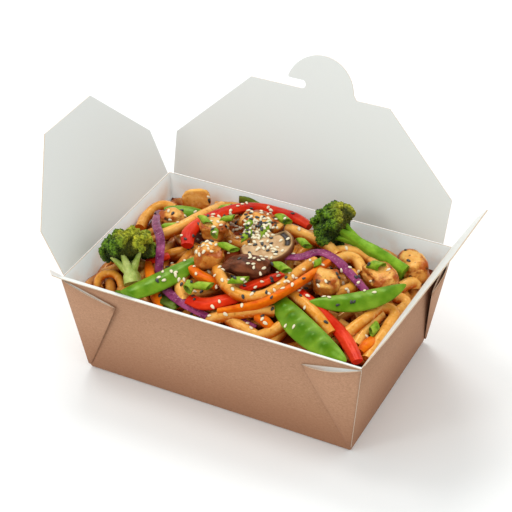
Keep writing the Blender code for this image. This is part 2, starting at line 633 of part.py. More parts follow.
def noodle_paths():
    """The noodles that show, as places on the mound with a lift, then the ones that fill between."""
    laid = [
        [(-74, -1, 4), (-77, 15, 5), (-74, 25, 6), (-65, 25, 4)],
        [(-42, 39, 6), (-48, 24, 7), (-53, 10, 7), (-60, -3, 6)],
        [(-67, -60, 0), (-70, -51, 3), (-67, -45, 4), (-61, -46, 3), (-54, -54, 0)],
        [(-30, -23, 2), (-27, -37, 3), (-18, -50, 2)],
        [(-18, -12, 5), (-12, -20, 7), (-3, -27.5, 8), (7, -31, 8), (15, -28, 8.5), (21, -16, 9), (24, -1, 8.5),
         (28, 13, 7.5)],
        [(-1, -61, 2), (9, -49, 4), (18, -41, 5), (28, -36, 3)],
        [(6, -51, 1), (18, -56, 2), (33, -61, 1)],
        [(38, -42, 2), (35, -52, 3), (30, -62, 1)],
        [(30, -18, 4), (47, -28, 6), (63, -41, 5)],
        [(70, -37, 3), (73, -24, 5), (77, -8, 4)],
        [(76, -10, 4), (84, -9, 5), (88, -21, 5), (89, -37, 4), (90, -53, 2)],
        [(79, -45, 1), (78, -28, 2), (80, -15, 2)],
        [(80, 3, 3), (89, 1, 4), (93, -9, 4), (93, -26, 2)],
        [(79, 11, 4), (86, 18, 5), (95, 15, 4)],
        [(33, 25, 5), (41, 30, 6), (52, 29, 6), (63, 22, 6), (75, 13, 4)],
        [(36, 17, 5), (45, 25, 6), (56, 15, 4)],
        [(1, 35, 7), (13, 33, 7), (25, 30.5, 7), (37, 23, 6)],
        [(-10, 53, 3), (-5, 56, 5), (1, 52, 4)],
        [(50, 12, 3), (56, 3, 4), (50, -10, 3)],
    ]
    paths = [(places, 1.0) for places in laid]
    rng = random.Random(12)
    for _ in range(5):
        x, y, heading = rng.uniform(-62, 66), rng.uniform(-34, 52), rng.uniform(0, math.pi)
        curl = rng.uniform(-0.9, 0.9)
        places = []
        for index in range(3):
            places.append((x, y, 1 + 1.5 * (index == 1)))
            x += math.cos(heading) * 13
            y += math.sin(heading) * 13
            heading += curl
        paths.append((places, rng.uniform(0.85, 1.0)))
    return paths


# ---------------------------------------------------------------- fitting and seeds

def bounds(obj):
    points = [vert.co for vert in obj.data.vertices]
    return [(min(p[i] for p in points), max(p[i] for p in points)) for i in range(3)]


def near(one, other, margin):
    """Whether two objects' boxes come within margin of each other."""
    return all(a[0] - margin < b[1] and b[0] - margin < a[1] for a, b in zip(bounds(one), bounds(other)))


def swollen(obj):
    """Copies of a piece that stand out from it by the gap all round, as cutters."""
    points = [vert.co.copy() for vert in obj.data.vertices]
    if obj.name in STEMS:
        stem = STEMS[obj.name]
        ahead = [(point - stem["fork"]).dot(stem["axis"]) for point in points]
        aside = [(point - stem["fork"]).cross(stem["axis"]).length for point in points]
        crown = [point for point, far in zip(points, ahead) if far > -WELD]
        stalk = [point for point, far, off in zip(points, ahead, aside)
                 if off < stem["reach"] and far < 3 * stem["reach"]]
        return [swollen_mesh(obj.name, hull(group)) for group in (crown, stalk)]
    shape = bmesh.new()
    shape.from_mesh(obj.data)
    return [swollen_mesh(obj.name, shape)]


def hull(points):
    """The convex hull of points, as a bmesh."""
    shape = bmesh.new()
    for point in points:
        shape.verts.new(point)
    made = bmesh.ops.convex_hull(shape, input=shape.verts)
    spare = {vert for vert in made["geom_interior"] if isinstance(vert, bmesh.types.BMVert)}
    spare |= {vert for vert in made["geom_unused"] if isinstance(vert, bmesh.types.BMVert)}
    bmesh.ops.delete(shape, geom=list(spare), context="VERTS")
    return shape


def swollen_mesh(name, shape):
    bmesh.ops.recalc_face_normals(shape, faces=shape.faces)
    shape.normal_update()
    moves = [(vert, vert.normal * PIECE_GAP * min(1.6, vert.calc_shell_factor())) for vert in shape.verts]
    for vert, move in moves:
        vert.co += move
    return add_mesh(name + "_cutter", mesh_of(shape, name + "_cutter"), collection="helpers")


def inner_space():
    """The space inside the walls, carried straight up above the rim."""
    shape = frustum(BOARD + WALL_GAP, BOX_HEIGHT, BOARD + HEAP_FLOOR_GAP)
    top = max(shape.faces, key=lambda face: face.calc_center_median().z)
    raised = bmesh.ops.extrude_face_region(shape, geom=[top])["geom"]
    bmesh.ops.delete(shape, geom=[top], context="FACES_ONLY")
    verts = [item for item in raised if isinstance(item, bmesh.types.BMVert)]
    bmesh.ops.translate(shape, vec=Vector((0, 0, 60 * MM)), verts=verts)
    return add_mesh("inner_space", mesh_of(shape, "inner_space"), collection="helpers")


def fit_together(heap, toppings):
    """Cuts each piece clear of the ones above it and of the walls, and the mound clear of them all.

    Returns the pieces, the mound last.
    """
    fitted = []
    for piece in toppings + [heap]:
        above = [upper for upper in fitted if near(piece, upper, 2 * PIECE_GAP)]
        if above:
            piece = boolean(piece, "DIFFERENCE", [cutter for upper in above for cutter in swollen(upper)])
        fitted.append(boolean(piece, "INTERSECT", [inner_space()]))
    return fitted


def scatter_sesame(nodes):
    """Sesame seeds fused where they fell, thickest over the middle of the mound."""
    rng = random.Random(5)
    trees = [bvhtree.BVHTree.FromPolygons([vert.co for vert in node.data.vertices],
                                          [face.vertices for face in node.data.polygons]) for node in nodes]
    bearers = ("noodle_heap", "mushroom", "chicken", "pepper", "pea_pod_front")
    fallen = {node.name: [] for node in nodes}
    spots = []
    while len(spots) < SESAME_COUNT:
        start = Vector((rng.gauss(SESAME_MIDDLE[0], SESAME_SPREAD[0]), rng.gauss(SESAME_MIDDLE[1], SESAME_SPREAD[1]),
                        4 * BOX_HEIGHT))
        hits = [(tree.ray_cast(start, Vector((0, 0, -1))), node) for tree, node in zip(trees, nodes)]
        (point, normal, _, _), node = max(hits, key=lambda hit: hit[0][0].z if hit[0][0] else 0)
        if point is None or normal.z < 0.8 or not node.name.startswith(bearers):
            continue
        others = [tree.find_nearest(point)[3] for tree, other in zip(trees, nodes) if other is not node]
        if min(others) < SESAME_CLEAR or any((point - spot).length < 2 * SESAME_CLEAR for spot in spots):
            continue
        spots.append(point)
        fallen[node.name].append(sesame_seed(point, normal, rng.uniform(0, math.pi)))
    for node in nodes:
        if fallen[node.name]:
            boolean(node, "UNION", fallen[node.name])


def sesame_seed(point, normal, spin):
    """One seed lying half sunk on a surface."""
    shape = bmesh.new()
    bmesh.ops.create_icosphere(shape, subdivisions=1, radius=1)
    bmesh.ops.scale(shape, vec=Vector(SESAME_SIZE) / 2, verts=shape.verts)
    turn = normal.to_track_quat("Z", "Y").to_matrix().to_4x4() @ Matrix.Rotation(spin, 4, "Z")
    bmesh.ops.transform(shape, matrix=Matrix.Translation(point + normal * 0.25 * MM) @ turn, verts=shape.verts)
    return add_mesh("seed", mesh_of(shape, "seed"), collection="helpers")


main()
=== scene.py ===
"""Looks of the noodle box: folded kraft board, lid flaps open, heaped with a glossy stir-fry.

Metres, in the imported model's frame: the origin is the middle of the underside of the base,
+X runs along the long side and -Y is the front. Each section makes one piece or a group of
like pieces and says which solids they stand for.
"""

import json
import math
import random

import bmesh
import bpy
from mathutils import Matrix, Vector, bvhtree, noise

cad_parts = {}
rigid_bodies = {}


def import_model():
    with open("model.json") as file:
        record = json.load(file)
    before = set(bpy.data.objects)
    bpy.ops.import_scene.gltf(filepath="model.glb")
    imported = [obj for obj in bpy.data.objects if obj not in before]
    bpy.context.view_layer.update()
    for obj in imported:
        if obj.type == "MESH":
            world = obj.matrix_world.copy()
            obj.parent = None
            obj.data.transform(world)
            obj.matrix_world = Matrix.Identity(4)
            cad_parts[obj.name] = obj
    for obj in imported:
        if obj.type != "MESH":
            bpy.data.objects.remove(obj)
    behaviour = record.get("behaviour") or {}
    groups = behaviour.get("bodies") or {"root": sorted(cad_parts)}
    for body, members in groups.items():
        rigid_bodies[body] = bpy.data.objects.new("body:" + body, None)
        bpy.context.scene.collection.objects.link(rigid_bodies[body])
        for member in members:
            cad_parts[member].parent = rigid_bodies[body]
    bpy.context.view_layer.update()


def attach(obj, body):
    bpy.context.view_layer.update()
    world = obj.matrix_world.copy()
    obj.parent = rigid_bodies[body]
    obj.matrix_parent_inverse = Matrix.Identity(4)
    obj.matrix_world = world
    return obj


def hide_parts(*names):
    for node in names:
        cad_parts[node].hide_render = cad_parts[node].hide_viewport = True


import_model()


# ======== table, light and view
# A seamless pale table under one broad lamp on the left, a weak fill from the front and a
# lamp from behind for the highlights. A long lens looks down on the right front corner.

MM = 0.001


def hue(code):
    """A linear colour from an sRGB hex value."""
    parts = [int(code[index:index + 2], 16) / 255 for index in (1, 3, 5)]
    linear = [part / 12.92 if part <= 0.04045 else ((part + 0.055) / 1.055) ** 2.4 for part in parts]
    return (*linear, 1)


def put(tree, kind, inputs=None, **settings):
    """Adds a node with its settings. An input takes a value, another node's output or the node itself."""
    node = tree.nodes.new(kind)
    for key, value in settings.items():
        setattr(node, key, value)
    for key, value in (inputs or {}).items():
        value = value.outputs[0] if isinstance(value, bpy.types.Node) else value
        if isinstance(value, bpy.types.NodeSocket):
            tree.links.new(value, node.inputs[key])
        else:
            node.inputs[key].default_value = value
    return node


def finish(name, roughness, **sockets):
    """A new surface, and where a point lies in the part's own space."""
    material = bpy.data.materials.new(name)
    material.use_nodes = True
    tree = material.node_tree
    for key, value in {"Roughness": roughness, **sockets}.items():
        tree.nodes["Principled BSDF"].inputs[key.replace("_", " ")].default_value = value
    return material, put(tree, "ShaderNodeTexCoord").outputs["Object"]


def shown(name, data):
    """A new object of the scene."""
    made = bpy.data.objects.new(name, data)
    bpy.context.scene.collection.objects.link(made)
    return made


def mesh_of(shape, name, materials=()):
    """A mesh from a bmesh, which is freed."""
    mesh = bpy.data.meshes.new(name)
    shape.to_mesh(mesh)
    shape.free()
    for material in materials:
        mesh.materials.append(material)
    return mesh


LIGHTS = {
    "lamp": ((-1.1, 0.15, 3.2), 0.9, 14),
    "fill": ((-1.6, -2.4, 1.8), 0.8, 11),
    "glint": ((-0.6, 1.1, 2.0), 0.9, 13),
}
ROOM_LIGHT = 0.98
CAMERA_PLACE = Vector((0.3154, -0.6100, 0.5561))
CAMERA_YAW, CAMERA_PITCH, CAMERA_ROLL = (math.radians(angle) for angle in (27.39, 35.43, -0.95))
CAMERA_LENS, CAMERA_SENSOR = 109.86, 36

bpy.context.scene.view_settings.view_transform = "Standard"
room = bpy.data.worlds.new("room")
room.use_nodes = True
room.node_tree.nodes["Background"].inputs["Color"].default_value = hue("#F4F9FB")
room.node_tree.nodes["Background"].inputs["Strength"].default_value = ROOM_LIGHT
bpy.context.scene.world = room

for name, (place, size, power) in LIGHTS.items():
    light = bpy.data.lights.new(name, "AREA")
    light.shape = "DISK"
    light.size = size
    light.energy = power
    lamp = shown(name, light)
    lamp.location = place
    lamp.rotation_euler = Vector(place).to_track_quat("Z", "Y").to_euler()

camera = shown("camera", bpy.data.cameras.new("camera"))
camera.data.lens = CAMERA_LENS
camera.data.sensor_width = CAMERA_SENSOR
camera.data.clip_end = 20
turn = Matrix.Rotation(CAMERA_YAW, 4, "Z") @ Matrix.Rotation(math.pi / 2 - CAMERA_PITCH, 4, "X")
camera.matrix_world = Matrix.Translation(CAMERA_PLACE) @ turn @ Matrix.Rotation(CAMERA_ROLL, 4, "Z")
bpy.context.scene.camera = camera

TABLE_HALF, TABLE_GAP = 4.0, 0.3 * MM
table_shape = bmesh.new()
bmesh.ops.create_grid(table_shape, x_segments=1, y_segments=1, size=TABLE_HALF)
bmesh.ops.translate(table_shape, vec=(0, 0, -TABLE_GAP), verts=table_shape.verts)
paint, _ = finish("table_paint", 0.9, Base_Color=hue("#FAFAF8"))
table = shown("table", mesh_of(table_shape, "table", [paint]))


# ======== the tray
# Die-cut kraft board, brown outside with a white food-grade liner inside. Base and walls are
# one piece, and the corner webs fold out flat against the walls, which keeps it tight.

BASE_LENGTH, BASE_WIDTH = 159 * MM, 102 * MM
RIM_LENGTH, RIM_WIDTH = 175 * MM, 117 * MM
BOX_HEIGHT = 64 * MM
BACK_RIGHT_SPREAD = 2.5 * MM
BOARD = 0.6 * MM
FOLD_RADIUS = 0.9 * MM
WEB_REACH, WEB_DROP = 32 * MM, 9 * MM
LIP_WIDTH, EAR_LENGTH = 1.1 * MM, 10 * MM
# The kraft is darkened from the bottom up to the first height as painted shade; the liner is stained in the
# band.
BOTTOM_SHADE_HEIGHT, STAIN_BAND = 45 * MM, (50 * MM, 65.5 * MM)
OUTSIDE, INSIDE, CUT_EDGE = 0, 1, 2


def speckle(place, scale, detail, roughness=0.5):
    """Soft noise at a place, with about that many patches to the metre."""
    inputs = {"Vector": place, "Scale": scale, "Detail": detail, "Roughness": roughness}
    return put(place.id_data, "ShaderNodeTexNoise", inputs).outputs[0]


def graded(value, start, end, low=0.0, high=1.0, curve="LINEAR"):
    """A value graded from low, where it is start, to high, where it is end."""
    inputs = {"Value": value, "From Min": start, "From Max": end, "To Min": low, "To Max": high}
    return put(value.id_data, "ShaderNodeMapRange", inputs, interpolation_type=curve).outputs[0]


def mixed(share, one, other):
    """Two colours, each a hex value or a link, mixed by the share of the second."""
    ends = [hue(colour) if isinstance(colour, str) else colour for colour in (one, other)]
    inputs = {0: share, 6: ends[0], 7: ends[1]}
    return put(share.id_data, "ShaderNodeMix", inputs, data_type="RGBA").outputs[2]


def maths(operation, first, *others):
    """The result of a sum on a link and more links or values."""
    inputs = dict(enumerate((first, *others)))
    return put(first.id_data, "ShaderNodeMath", inputs, operation=operation).outputs[0]


def along_axes(place, scale):
    """The place, stretched or squeezed along each axis."""
    return put(place.id_data, "ShaderNodeMapping", {"Vector": place, "Scale": scale}).outputs[0]


def height_of(place):
    """How high a place lies or a direction points."""
    return put(place.id_data, "ShaderNodeSeparateXYZ", {0: place}).outputs["Z"]


def dressed(material, colour, relief=None, strength=0.0, depth=0.0):
    """The surface with its colour, and with a bump as deep as depth where it has a relief."""
    tree = material.node_tree
    sockets = tree.nodes["Principled BSDF"].inputs
    tree.links.new(colour, sockets["Base Color"])
    if relief:
        bump = put(tree, "ShaderNodeBump", {"Height": relief, "Strength": strength, "Distance": depth})
        tree.links.new(bump.outputs[0], sockets["Normal"])
    return material


def board_finishes():
    """Kraft outside, white liner inside and the cut edge, in that order.

    Real kraft shows wood fibres about 0.05 mm wide. They are drawn 1 mm wide to show at all.
    """
    kraft, place = finish("kraft_paper", 0.82)
    fibre = speckle(along_axes(place, (1, 1, 2.2)), 800, 5, 0.7)
    brown = mixed(graded(fibre, 0.35, 0.65), "#A37759", "#C19373")
    brown = mixed(graded(speckle(place, 28, 3), 0.3, 0.7, 0.0, 0.35), brown, "#AE7F5E")
    # Painted shade: the kraft turns darker brown towards the bottom of the walls.
    low = graded(height_of(place), 0.0, BOTTOM_SHADE_HEIGHT, 0.6, 0.0, "SMOOTHSTEP")
    dressed(kraft, mixed(low, brown, "#8C5837"), fibre, 0.25, 0.1 * MM)

    liner, place = finish("white_liner", 0.5)
    grain = speckle(place, 60, 4)
    near_food = graded(height_of(place), *STAIN_BAND, 1.0, 0.0, "SMOOTHSTEP")
    stain = maths("MULTIPLY", near_food, graded(grain, 0.38, 0.7))
    dressed(liner, mixed(stain, "#E8E8E3", "#DDB595"), grain, 0.06, 0.1 * MM)

    edge, place = finish("cut_board_edge", 0.85)
    dressed(edge, mixed(speckle(place, 900, 2), "#C8AC8E", "#DDCBB4"))
    return kraft, liner, edge


def piece_of(shape, name, materials=(), smooth_angle=None):
    """A piece from a bmesh, which is freed. It is smooth up to smooth_angle, in degrees."""
    bmesh.ops.recalc_face_normals(shape, faces=shape.faces)
    piece = shown(name, mesh_of(shape, name, materials))
    if smooth_angle:
        piece.data.shade_smooth()
        piece.data.set_sharp_from_angle(angle=math.radians(smooth_angle))
    return piece


def evaluated(piece):
    """The mesh that the piece's modifiers make of it."""
    bpy.context.view_layer.update()
    return bpy.data.meshes.new_from_object(piece.evaluated_get(bpy.context.evaluated_depsgraph_get()))


def joined(name, pieces):
    """One piece made of several, with the materials of the first."""
    shape = bmesh.new()
    for piece in pieces:
        shape.from_mesh(piece.data)
    made = shown(name, mesh_of(shape, name, pieces[0].data.materials))
    for piece in pieces:
        bpy.data.objects.remove(piece)
    return made


def bridged(shape, rows, closed=True):
    """Faces from each row of points to the next. Closed rows are rings."""
    for one, other in zip(rows, rows[1:]):
        for step in range(len(one) if closed else len(one) - 1):
            after = (step + 1) % len(one)
            shape.faces.new((one[step], one[after], other[after], other[step]))


def tray_point(side, end, height):
    """A place in the tray at a height: side is -1 left to 1 right, end is -1 front to 1 back."""
    share = height / BOX_HEIGHT
    x = side * (BASE_LENGTH / 2 + (RIM_LENGTH - BASE_LENGTH) / 2 * share)
    y = end * (BASE_WIDTH / 2 + (RIM_WIDTH - BASE_WIDTH) / 2 * share)
    spread = BACK_RIGHT_SPREAD * share * max(0, side) * (1 + end) / 2
    return Vector((x + spread, y, height))


def walled(piece, thickness, offset):
    """The open shell with the board's thickness, liner on its new side and a cut edge round it."""
    wall = piece.modifiers.new("board", "SOLIDIFY")
    wall.thickness = thickness
    wall.offset = offset
    wall.use_even_offset = offset != 0
    wall.material_offset = INSIDE
    wall.material_offset_rim = CUT_EDGE
    solid = evaluated(piece)
    piece.modifiers.clear()
    piece.data = solid
    return piece


def corner_web(side, end, along, outward, bulge, spring):
    """A corner web: a double triangle folded back on the outside of a wall.

    Its outer ply is open at the top by bulge, and its tip stands off the wall by spring.
    """
    columns, rows = 14, 8
    lift = outward * BOARD * 0.6
    bottom = tray_point(side, end, 0.6 * MM) + lift
    rim = tray_point(side, end, BOX_HEIGHT - 1.2 * MM) + lift
    tip = tray_point(side, end, BOX_HEIGHT - WEB_DROP) + along * WEB_REACH
    tip += outward * (spring + BOARD * 1.2)
    shape = bmesh.new()
    grid = []
    for row in range(rows + 1):
        up = 0.04 + 0.96 * row / rows
        line = []
        for column in range(2 * columns + 1):
            across = column / columns if column <= columns else 2 - column / columns
            ply = 1 if column <= columns else -1
            belly = math.sin(math.pi * across) * up
            point = bottom.lerp(rim, up).lerp(bottom.lerp(tip, up), across)
            point += outward * (bulge * max(ply, 0) * belly + ply * 0.5 * BOARD * (1 - across**8))
            line.append(shape.verts.new(point))
        grid.append(line)
    bridged(shape, grid, closed=False)
    web = piece_of(shape, "web", board, 40)
    if web.data.polygons[0].normal.dot(outward) < 0:
        web.data.flip_normals()
    return walled(web, BOARD * 0.8, 0)


def plate(name, outline, materials):
    """A flat board shape about its XY plane: liner on +Z, kraft below and a cut edge round it."""
    shape = bmesh.new()
    face = shape.faces.new([shape.verts.new((x, y, -BOARD / 2)) for x, y in outline])
    raised = bmesh.ops.extrude_face_region(shape, geom=[face])["geom"]
    verts = [item for item in raised if isinstance(item, bmesh.types.BMVert)]
    bmesh.ops.translate(shape, vec=(0, 0, BOARD), verts=verts)
    bmesh.ops.recalc_face_normals(shape, faces=shape.faces)
    for face in shape.faces:
        level = abs(face.normal.z) > 0.5
        face.material_index = (INSIDE if face.normal.z > 0 else OUTSIDE) if level else CUT_EDGE
    return piece_of(shape, name, materials)


board = board_finishes()
shape = bmesh.new()
bmesh.ops.create_cube(shape, size=2)
for vert in shape.verts:
    vert.co = tray_point(vert.co.x, vert.co.y, BOX_HEIGHT - 0.2 * MM if vert.co.z > 0 else 0)
top = max(shape.faces, key=lambda face: face.calc_center_median().z)
bmesh.ops.delete(shape, geom=[top], context="FACES_ONLY")
folds = [edge for edge in shape.edges if not edge.is_boundary]
bmesh.ops.bevel(shape, geom=folds, offset=FOLD_RADIUS, segments=3, affect="EDGES", profile=0.5)
shell = walled(piece_of(shape, "shell", board, 35), BOARD, -1)

front, back, right = Vector((0, -1, 0)), Vector((0, 1, 0)), Vector((1, 0, 0))
webs = [
    corner_web(-1, -1, right, front, bulge=0.9 * MM, spring=1.4 * MM),
    corner_web(1, -1, -right, front, bulge=3.4 * MM, spring=0.3 * MM),
    corner_web(-1, 1, right, back, bulge=0.9 * MM, spring=0.6 * MM),
    corner_web(1, 1, front, right, bulge=1.5 * MM, spring=2.3 * MM),
]
rim_left, rim_right = tray_point(-1, -1, BOX_HEIGHT), tray_point(1, -1, BOX_HEIGHT)
lip = plate("lip", [
    (rim_right.x - 0.3 * MM, rim_left.y + 0.7 * MM),
    (rim_left.x, rim_left.y + 1.1 * MM),
    (rim_left.x - EAR_LENGTH * 0.7, rim_left.y + 2.6 * MM),
    (rim_left.x - EAR_LENGTH, rim_left.y + 3.4 * MM),
    (rim_left.x - EAR_LENGTH * 0.6, rim_left.y - 0.6 * MM),
    (rim_left.x, rim_left.y - LIP_WIDTH),
    (rim_right.x - 0.3 * MM, rim_left.y - LIP_WIDTH * 0.4),
], board)
lip.data.transform(Matrix.Translation((0, 0, BOX_HEIGHT - BOARD * 0.5)))
tray = joined("tray", [shell] + webs + [lip])
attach(tray, "box")
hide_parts("box_tray")


# ======== the lid flaps
# Three panels of the same board on creases at the rim. The back one carries the round tab
# that hooks into the lid when it is shut. Their insides are white and dull.

FLAP_ROOT_GAP = 0.25 * MM
LEFT_LEAN, RIGHT_LEAN, BACK_LEAN = 23.5, 28.8, 16.8
LEFT_FLAP = {"root": 56.5, "shoulder": (28.0, 57.5), "top": (68.4, 23.0)}
RIGHT_FLAP = {"root": 56.5, "shoulder": (27.0, 57.5), "top": (62.0, 23.0)}
BACK_FLAP = {"root": 84.5, "shoulder": (25.5, 85.3), "top": (67.5, 42.3)}
TAB_RADIUS, TAB_FILLET = 20.6 * MM, 2.0 * MM
SLOT_HEIGHT, SLOT_END = 4.7 * MM, -8.6 * MM


def flap_outline(flap):
    """Root, shoulders and narrow top of a flap, from the right of the crease round to the left."""
    root = flap["root"] * MM
    rise, half = (value * MM for value in flap["shoulder"])
    height, top = (value * MM for value in flap["top"])
    right_side = [(root, FLAP_ROOT_GAP), (half, rise), (top, height)]
    return right_side + [(-x, y) for x, y in reversed(right_side)]


def arc(middle, radius, start, end, steps):
    """Points along part of a circle, between two angles in degrees."""
    angles = [math.radians(start + (end - start) * step / steps) for step in range(steps + 1)]
    return [(middle[0] + radius * math.cos(turn), middle[1] + radius * math.sin(turn)) for turn in angles]


def hook_tab(height):
    """The round tab on the back flap's top edge, from right to left, undercut by its slot."""
    foot = (math.sqrt((TAB_RADIUS + TAB_FILLET) ** 2 - TAB_FILLET**2), height)
    hook_angle = 180 - math.degrees(math.asin(SLOT_HEIGHT / TAB_RADIUS))
    crown = arc((0, height), TAB_RADIUS, 8, hook_angle - 3, 40)
    hook = (crown[-1][0] + 0.3 * MM, height + SLOT_HEIGHT)
    slot = arc((SLOT_END - SLOT_HEIGHT / 2, height + SLOT_HEIGHT / 2), SLOT_HEIGHT / 2, 90, -90, 12)
    return [foot, *crown, hook, *slot]


back_outline = flap_outline(BACK_FLAP)
back_outline = back_outline[:3] + hook_tab(BACK_FLAP["top"][0] * MM) + back_outline[3:]
for name, body, outline, start, end, lean in (
    ("lid_left", "left_flap", flap_outline(LEFT_FLAP), (-1, -1), (-1, 1), LEFT_LEAN),
    ("lid_right", "right_flap", flap_outline(RIGHT_FLAP), (1, 1), (1, -1), RIGHT_LEAN),
    ("lid_back", "back_flap", back_outline, (-1, 1), (1, 1), BACK_LEAN),
):
    start, end = tray_point(*start, BOX_HEIGHT), tray_point(*end, BOX_HEIGHT)
    middle = Vector((0, start.y, BOX_HEIGHT)) if body == "back_flap" else (start + end) / 2
    heading = Matrix.Rotation(math.atan2(end.y - start.y, end.x - start.x), 4, "Z")
    tip = Matrix.Rotation(math.radians(90 - lean), 4, "X")
    lid = plate(name, outline, board)
    lid.data.transform(Matrix.Translation(middle) @ heading @ tip)
    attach(lid, body)
    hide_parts("flap_" + body.split("_")[0])


# ======== how the food is laid
# Nothing here is a piece yet: these are the mound's form and the ways that every strand,
# chunk and cut below is laid on it. Places are in millimetres, read at the rim's height along
# the line of sight of the camera, and slide down it to the mound.

HEAP_EDGE, HEAP_RISE = 51 * MM, 14 * MM
HEAP_HALF_LENGTH, HEAP_HALF_WIDTH = 84 * MM, 55 * MM
# Food darkens from this height above the mound downwards, fully over the depth: partly sauce, partly
# painted shade.
SAUCE_AND_SHADE_LINE, SAUCE_AND_SHADE_DEPTH = 6 * MM, 8 * MM
WALL_GAP = 0.5 * MM
SIGHT = Vector((0.647, -1.248, 1.0))
CORNER_DEPTH = 0.42


def heap_level(x, y):
    """How high the mound of noodles stands at a place in the box."""
    across = max(0.0, 1 - abs(x / HEAP_HALF_LENGTH) ** 2.5)
    along = max(0.0, 1 - abs(y / HEAP_HALF_WIDTH) ** 2.5)
    return HEAP_EDGE + HEAP_RISE * across * along


def on_heap(x, y, lift):
    """The point above the mound by lift that is seen at x, y of the rim plane."""
    place = Vector((x, y, 0)) * MM
    height = BOX_HEIGHT
    for _ in range(8):
        point = place + SIGHT * (height - BOX_HEIGHT)
        height = heap_level(point.x, point.y) + lift * MM
    point.z = height
    return point


def frame_at(place, heading, pitch=0.0, roll=0.0):
    """A frame on the mound, turned to a heading in the plan and then tipped, in degrees."""
    spin = Matrix.Rotation(math.radians(heading), 4, "Z")
    tip = Matrix.Rotation(math.radians(pitch), 4, "Y") @ Matrix.Rotation(math.radians(roll), 4, "X")
    return Matrix.Translation(on_heap(*place)) @ spin @ tip


def kept(place, name):
    """The value that each point of a piece keeps under the name."""
    return put(place.id_data, "ShaderNodeAttribute", attribute_name=name).outputs["Fac"]


def keep(piece, name, values):
    """Each point of the piece keeps its value under the name."""
    piece.data.attributes.new(name, "FLOAT", "POINT").data.foreach_set("value", values)


def underside_shade(place, start, end, most, curve="LINEAR"):
    """A share of painted shade: most where the normal's height is start, and none where it is end."""
    facing = put(place.id_data, "ShaderNodeTexCoord").outputs["Normal"]
    return graded(height_of(facing), start, end, most, 0.0, curve)


def glazed(name, roughness, gloss, tint, soft, reach=0.002, spread=(1.0, 0.2, 0.1)):
    """A surface wet with oil or sauce, and its place: light sinks in by a share, and as far as reach."""
    return finish(name, roughness, Specular_IOR_Level=gloss, Specular_Tint=hue(tint),
                  Subsurface_Weight=soft, Subsurface_Scale=reach, Subsurface_Radius=spread)


def node_group(name, **inputs):
    """A Geometry Nodes tree with named inputs and a finish, and what it is given there."""
    tree = bpy.data.node_groups.new(name, "GeometryNodeTree")
    for label, kind in {"Geometry": "Geometry", **inputs, "Finish": "Material"}.items():
        tree.interface.new_socket(label.replace("_", " "), in_out="INPUT", socket_type="NodeSocket" + kind)
    tree.interface.new_socket("Geometry", in_out="OUTPUT", socket_type="NodeSocketGeometry")
    return tree, put(tree, "NodeGroupInput").outputs


def ended_group(tree, given, geometry):
    """The tree, ended with real geometry that has its finish."""
    real = put(tree, "GeometryNodeRealizeInstances", {0: geometry})
    made = put(tree, "GeometryNodeSetMaterial", {"Geometry": real, "Material": given["Finish"]})
    put(tree, "NodeGroupOutput", {0: made})
    return tree


def chance(given, low=0.0, high=1.0):
    """A number between low and high that each curve or point draws for itself."""
    inputs = {2: low, 3: high, "Seed": given["Seed"]}
    return put(given["Seed"].id_data, "FunctionNodeRandomValue", inputs, data_type="FLOAT").outputs[1]


def laid_strand_tree():
    """Sweeps a profile along curves that lie on the food, and roughens the surface a little."""
    tree, given = node_group("laid_strand", Profile="Object", Ring_Spacing="Float", Wobble="Float",
                             Wobble_Grain="Float", Seed="Int")
    upright = put(tree, "GeometryNodeSetCurveNormal", {"Curve": given["Geometry"]}, mode="Z_UP")
    rings = put(tree, "GeometryNodeResampleCurve", {"Curve": upright, "Length": given["Ring Spacing"]},
                mode="LENGTH")
    tinted = put(tree, "GeometryNodeStoreNamedAttribute",
                 {"Geometry": rings, "Name": "tint", "Value": chance(given)},
                 data_type="FLOAT", domain="CURVE")
    section = put(tree, "GeometryNodeObjectInfo", {"Object": given["Profile"]})
    swept = put(tree, "GeometryNodeCurveToMesh",
                {"Curve": tinted, "Profile Curve": section.outputs["Geometry"],
                 "Scale": put(tree, "GeometryNodeInputRadius"), "Fill Caps": True})
    lumps = put(tree, "ShaderNodeTexNoise",
                {"Vector": put(tree, "GeometryNodeInputPosition"), "W": given["Seed"],
                 "Scale": given["Wobble Grain"]}, noise_dimensions="4D")
    lift = maths("MULTIPLY", maths("SUBTRACT", lumps.outputs[0], 0.5), given["Wobble"])
    push = put(tree, "ShaderNodeVectorMath", {0: put(tree, "GeometryNodeInputNormal"), "Scale": lift},
               operation="SCALE")
    lumpy = put(tree, "GeometryNodeSetPosition", {"Geometry": swept, "Offset": push})
    return ended_group(tree, given, lumpy)


def grown(source, name, tree, material, **values):
    """The object with a node tree run over it, as a plain mesh piece. The object goes."""
    modifier = source.modifiers.new("grown", "NODES")
    modifier.node_group = tree
    values["finish"] = material
    for socket in tree.interface.items_tree:
        key = socket.name.replace(" ", "_").lower()
        if socket.in_out == "INPUT" and key in values:
            modifier[socket.identifier] = values[key]
    mesh = evaluated(source)
    bpy.data.objects.remove(source)
    mesh.materials.clear()
    mesh.materials.append(material)
    mesh.shade_smooth()
    mesh.set_sharp_from_angle(angle=math.radians(48))
    return shown(name, mesh)


def round_section(radius, sides, rib=0.0):
    """The points of a round section, with five ribs that stand out by a share of its radius."""
    turns = [2 * math.pi * step / sides for step in range(sides)]
    reaches = [radius * (1 + rib * math.cos(5 * turn)) for turn in turns]
    return [(reach * math.cos(turn), reach * math.sin(turn)) for reach, turn in zip(reaches, turns)]


def profile(points, smooth=True):
    """A closed section for a strand, from points in millimetres."""
    curve = bpy.data.curves.new("profile", "CURVE")
    curve.dimensions = "2D"
    curve.resolution_u = 3
    spline = curve.splines.new("BEZIER" if smooth else "POLY")
    corners = spline.bezier_points if smooth else spline.points
    corners.add(len(points) - 1)
    for corner, (x, y) in zip(corners, points):
        corner.co = (x * MM, y * MM, 0) if smooth else (x * MM, y * MM, 0, 1)
        if smooth:
            corner.handle_left_type = corner.handle_right_type = "AUTO"
    spline.use_cyclic_u = True
    return shown("profile", curve)


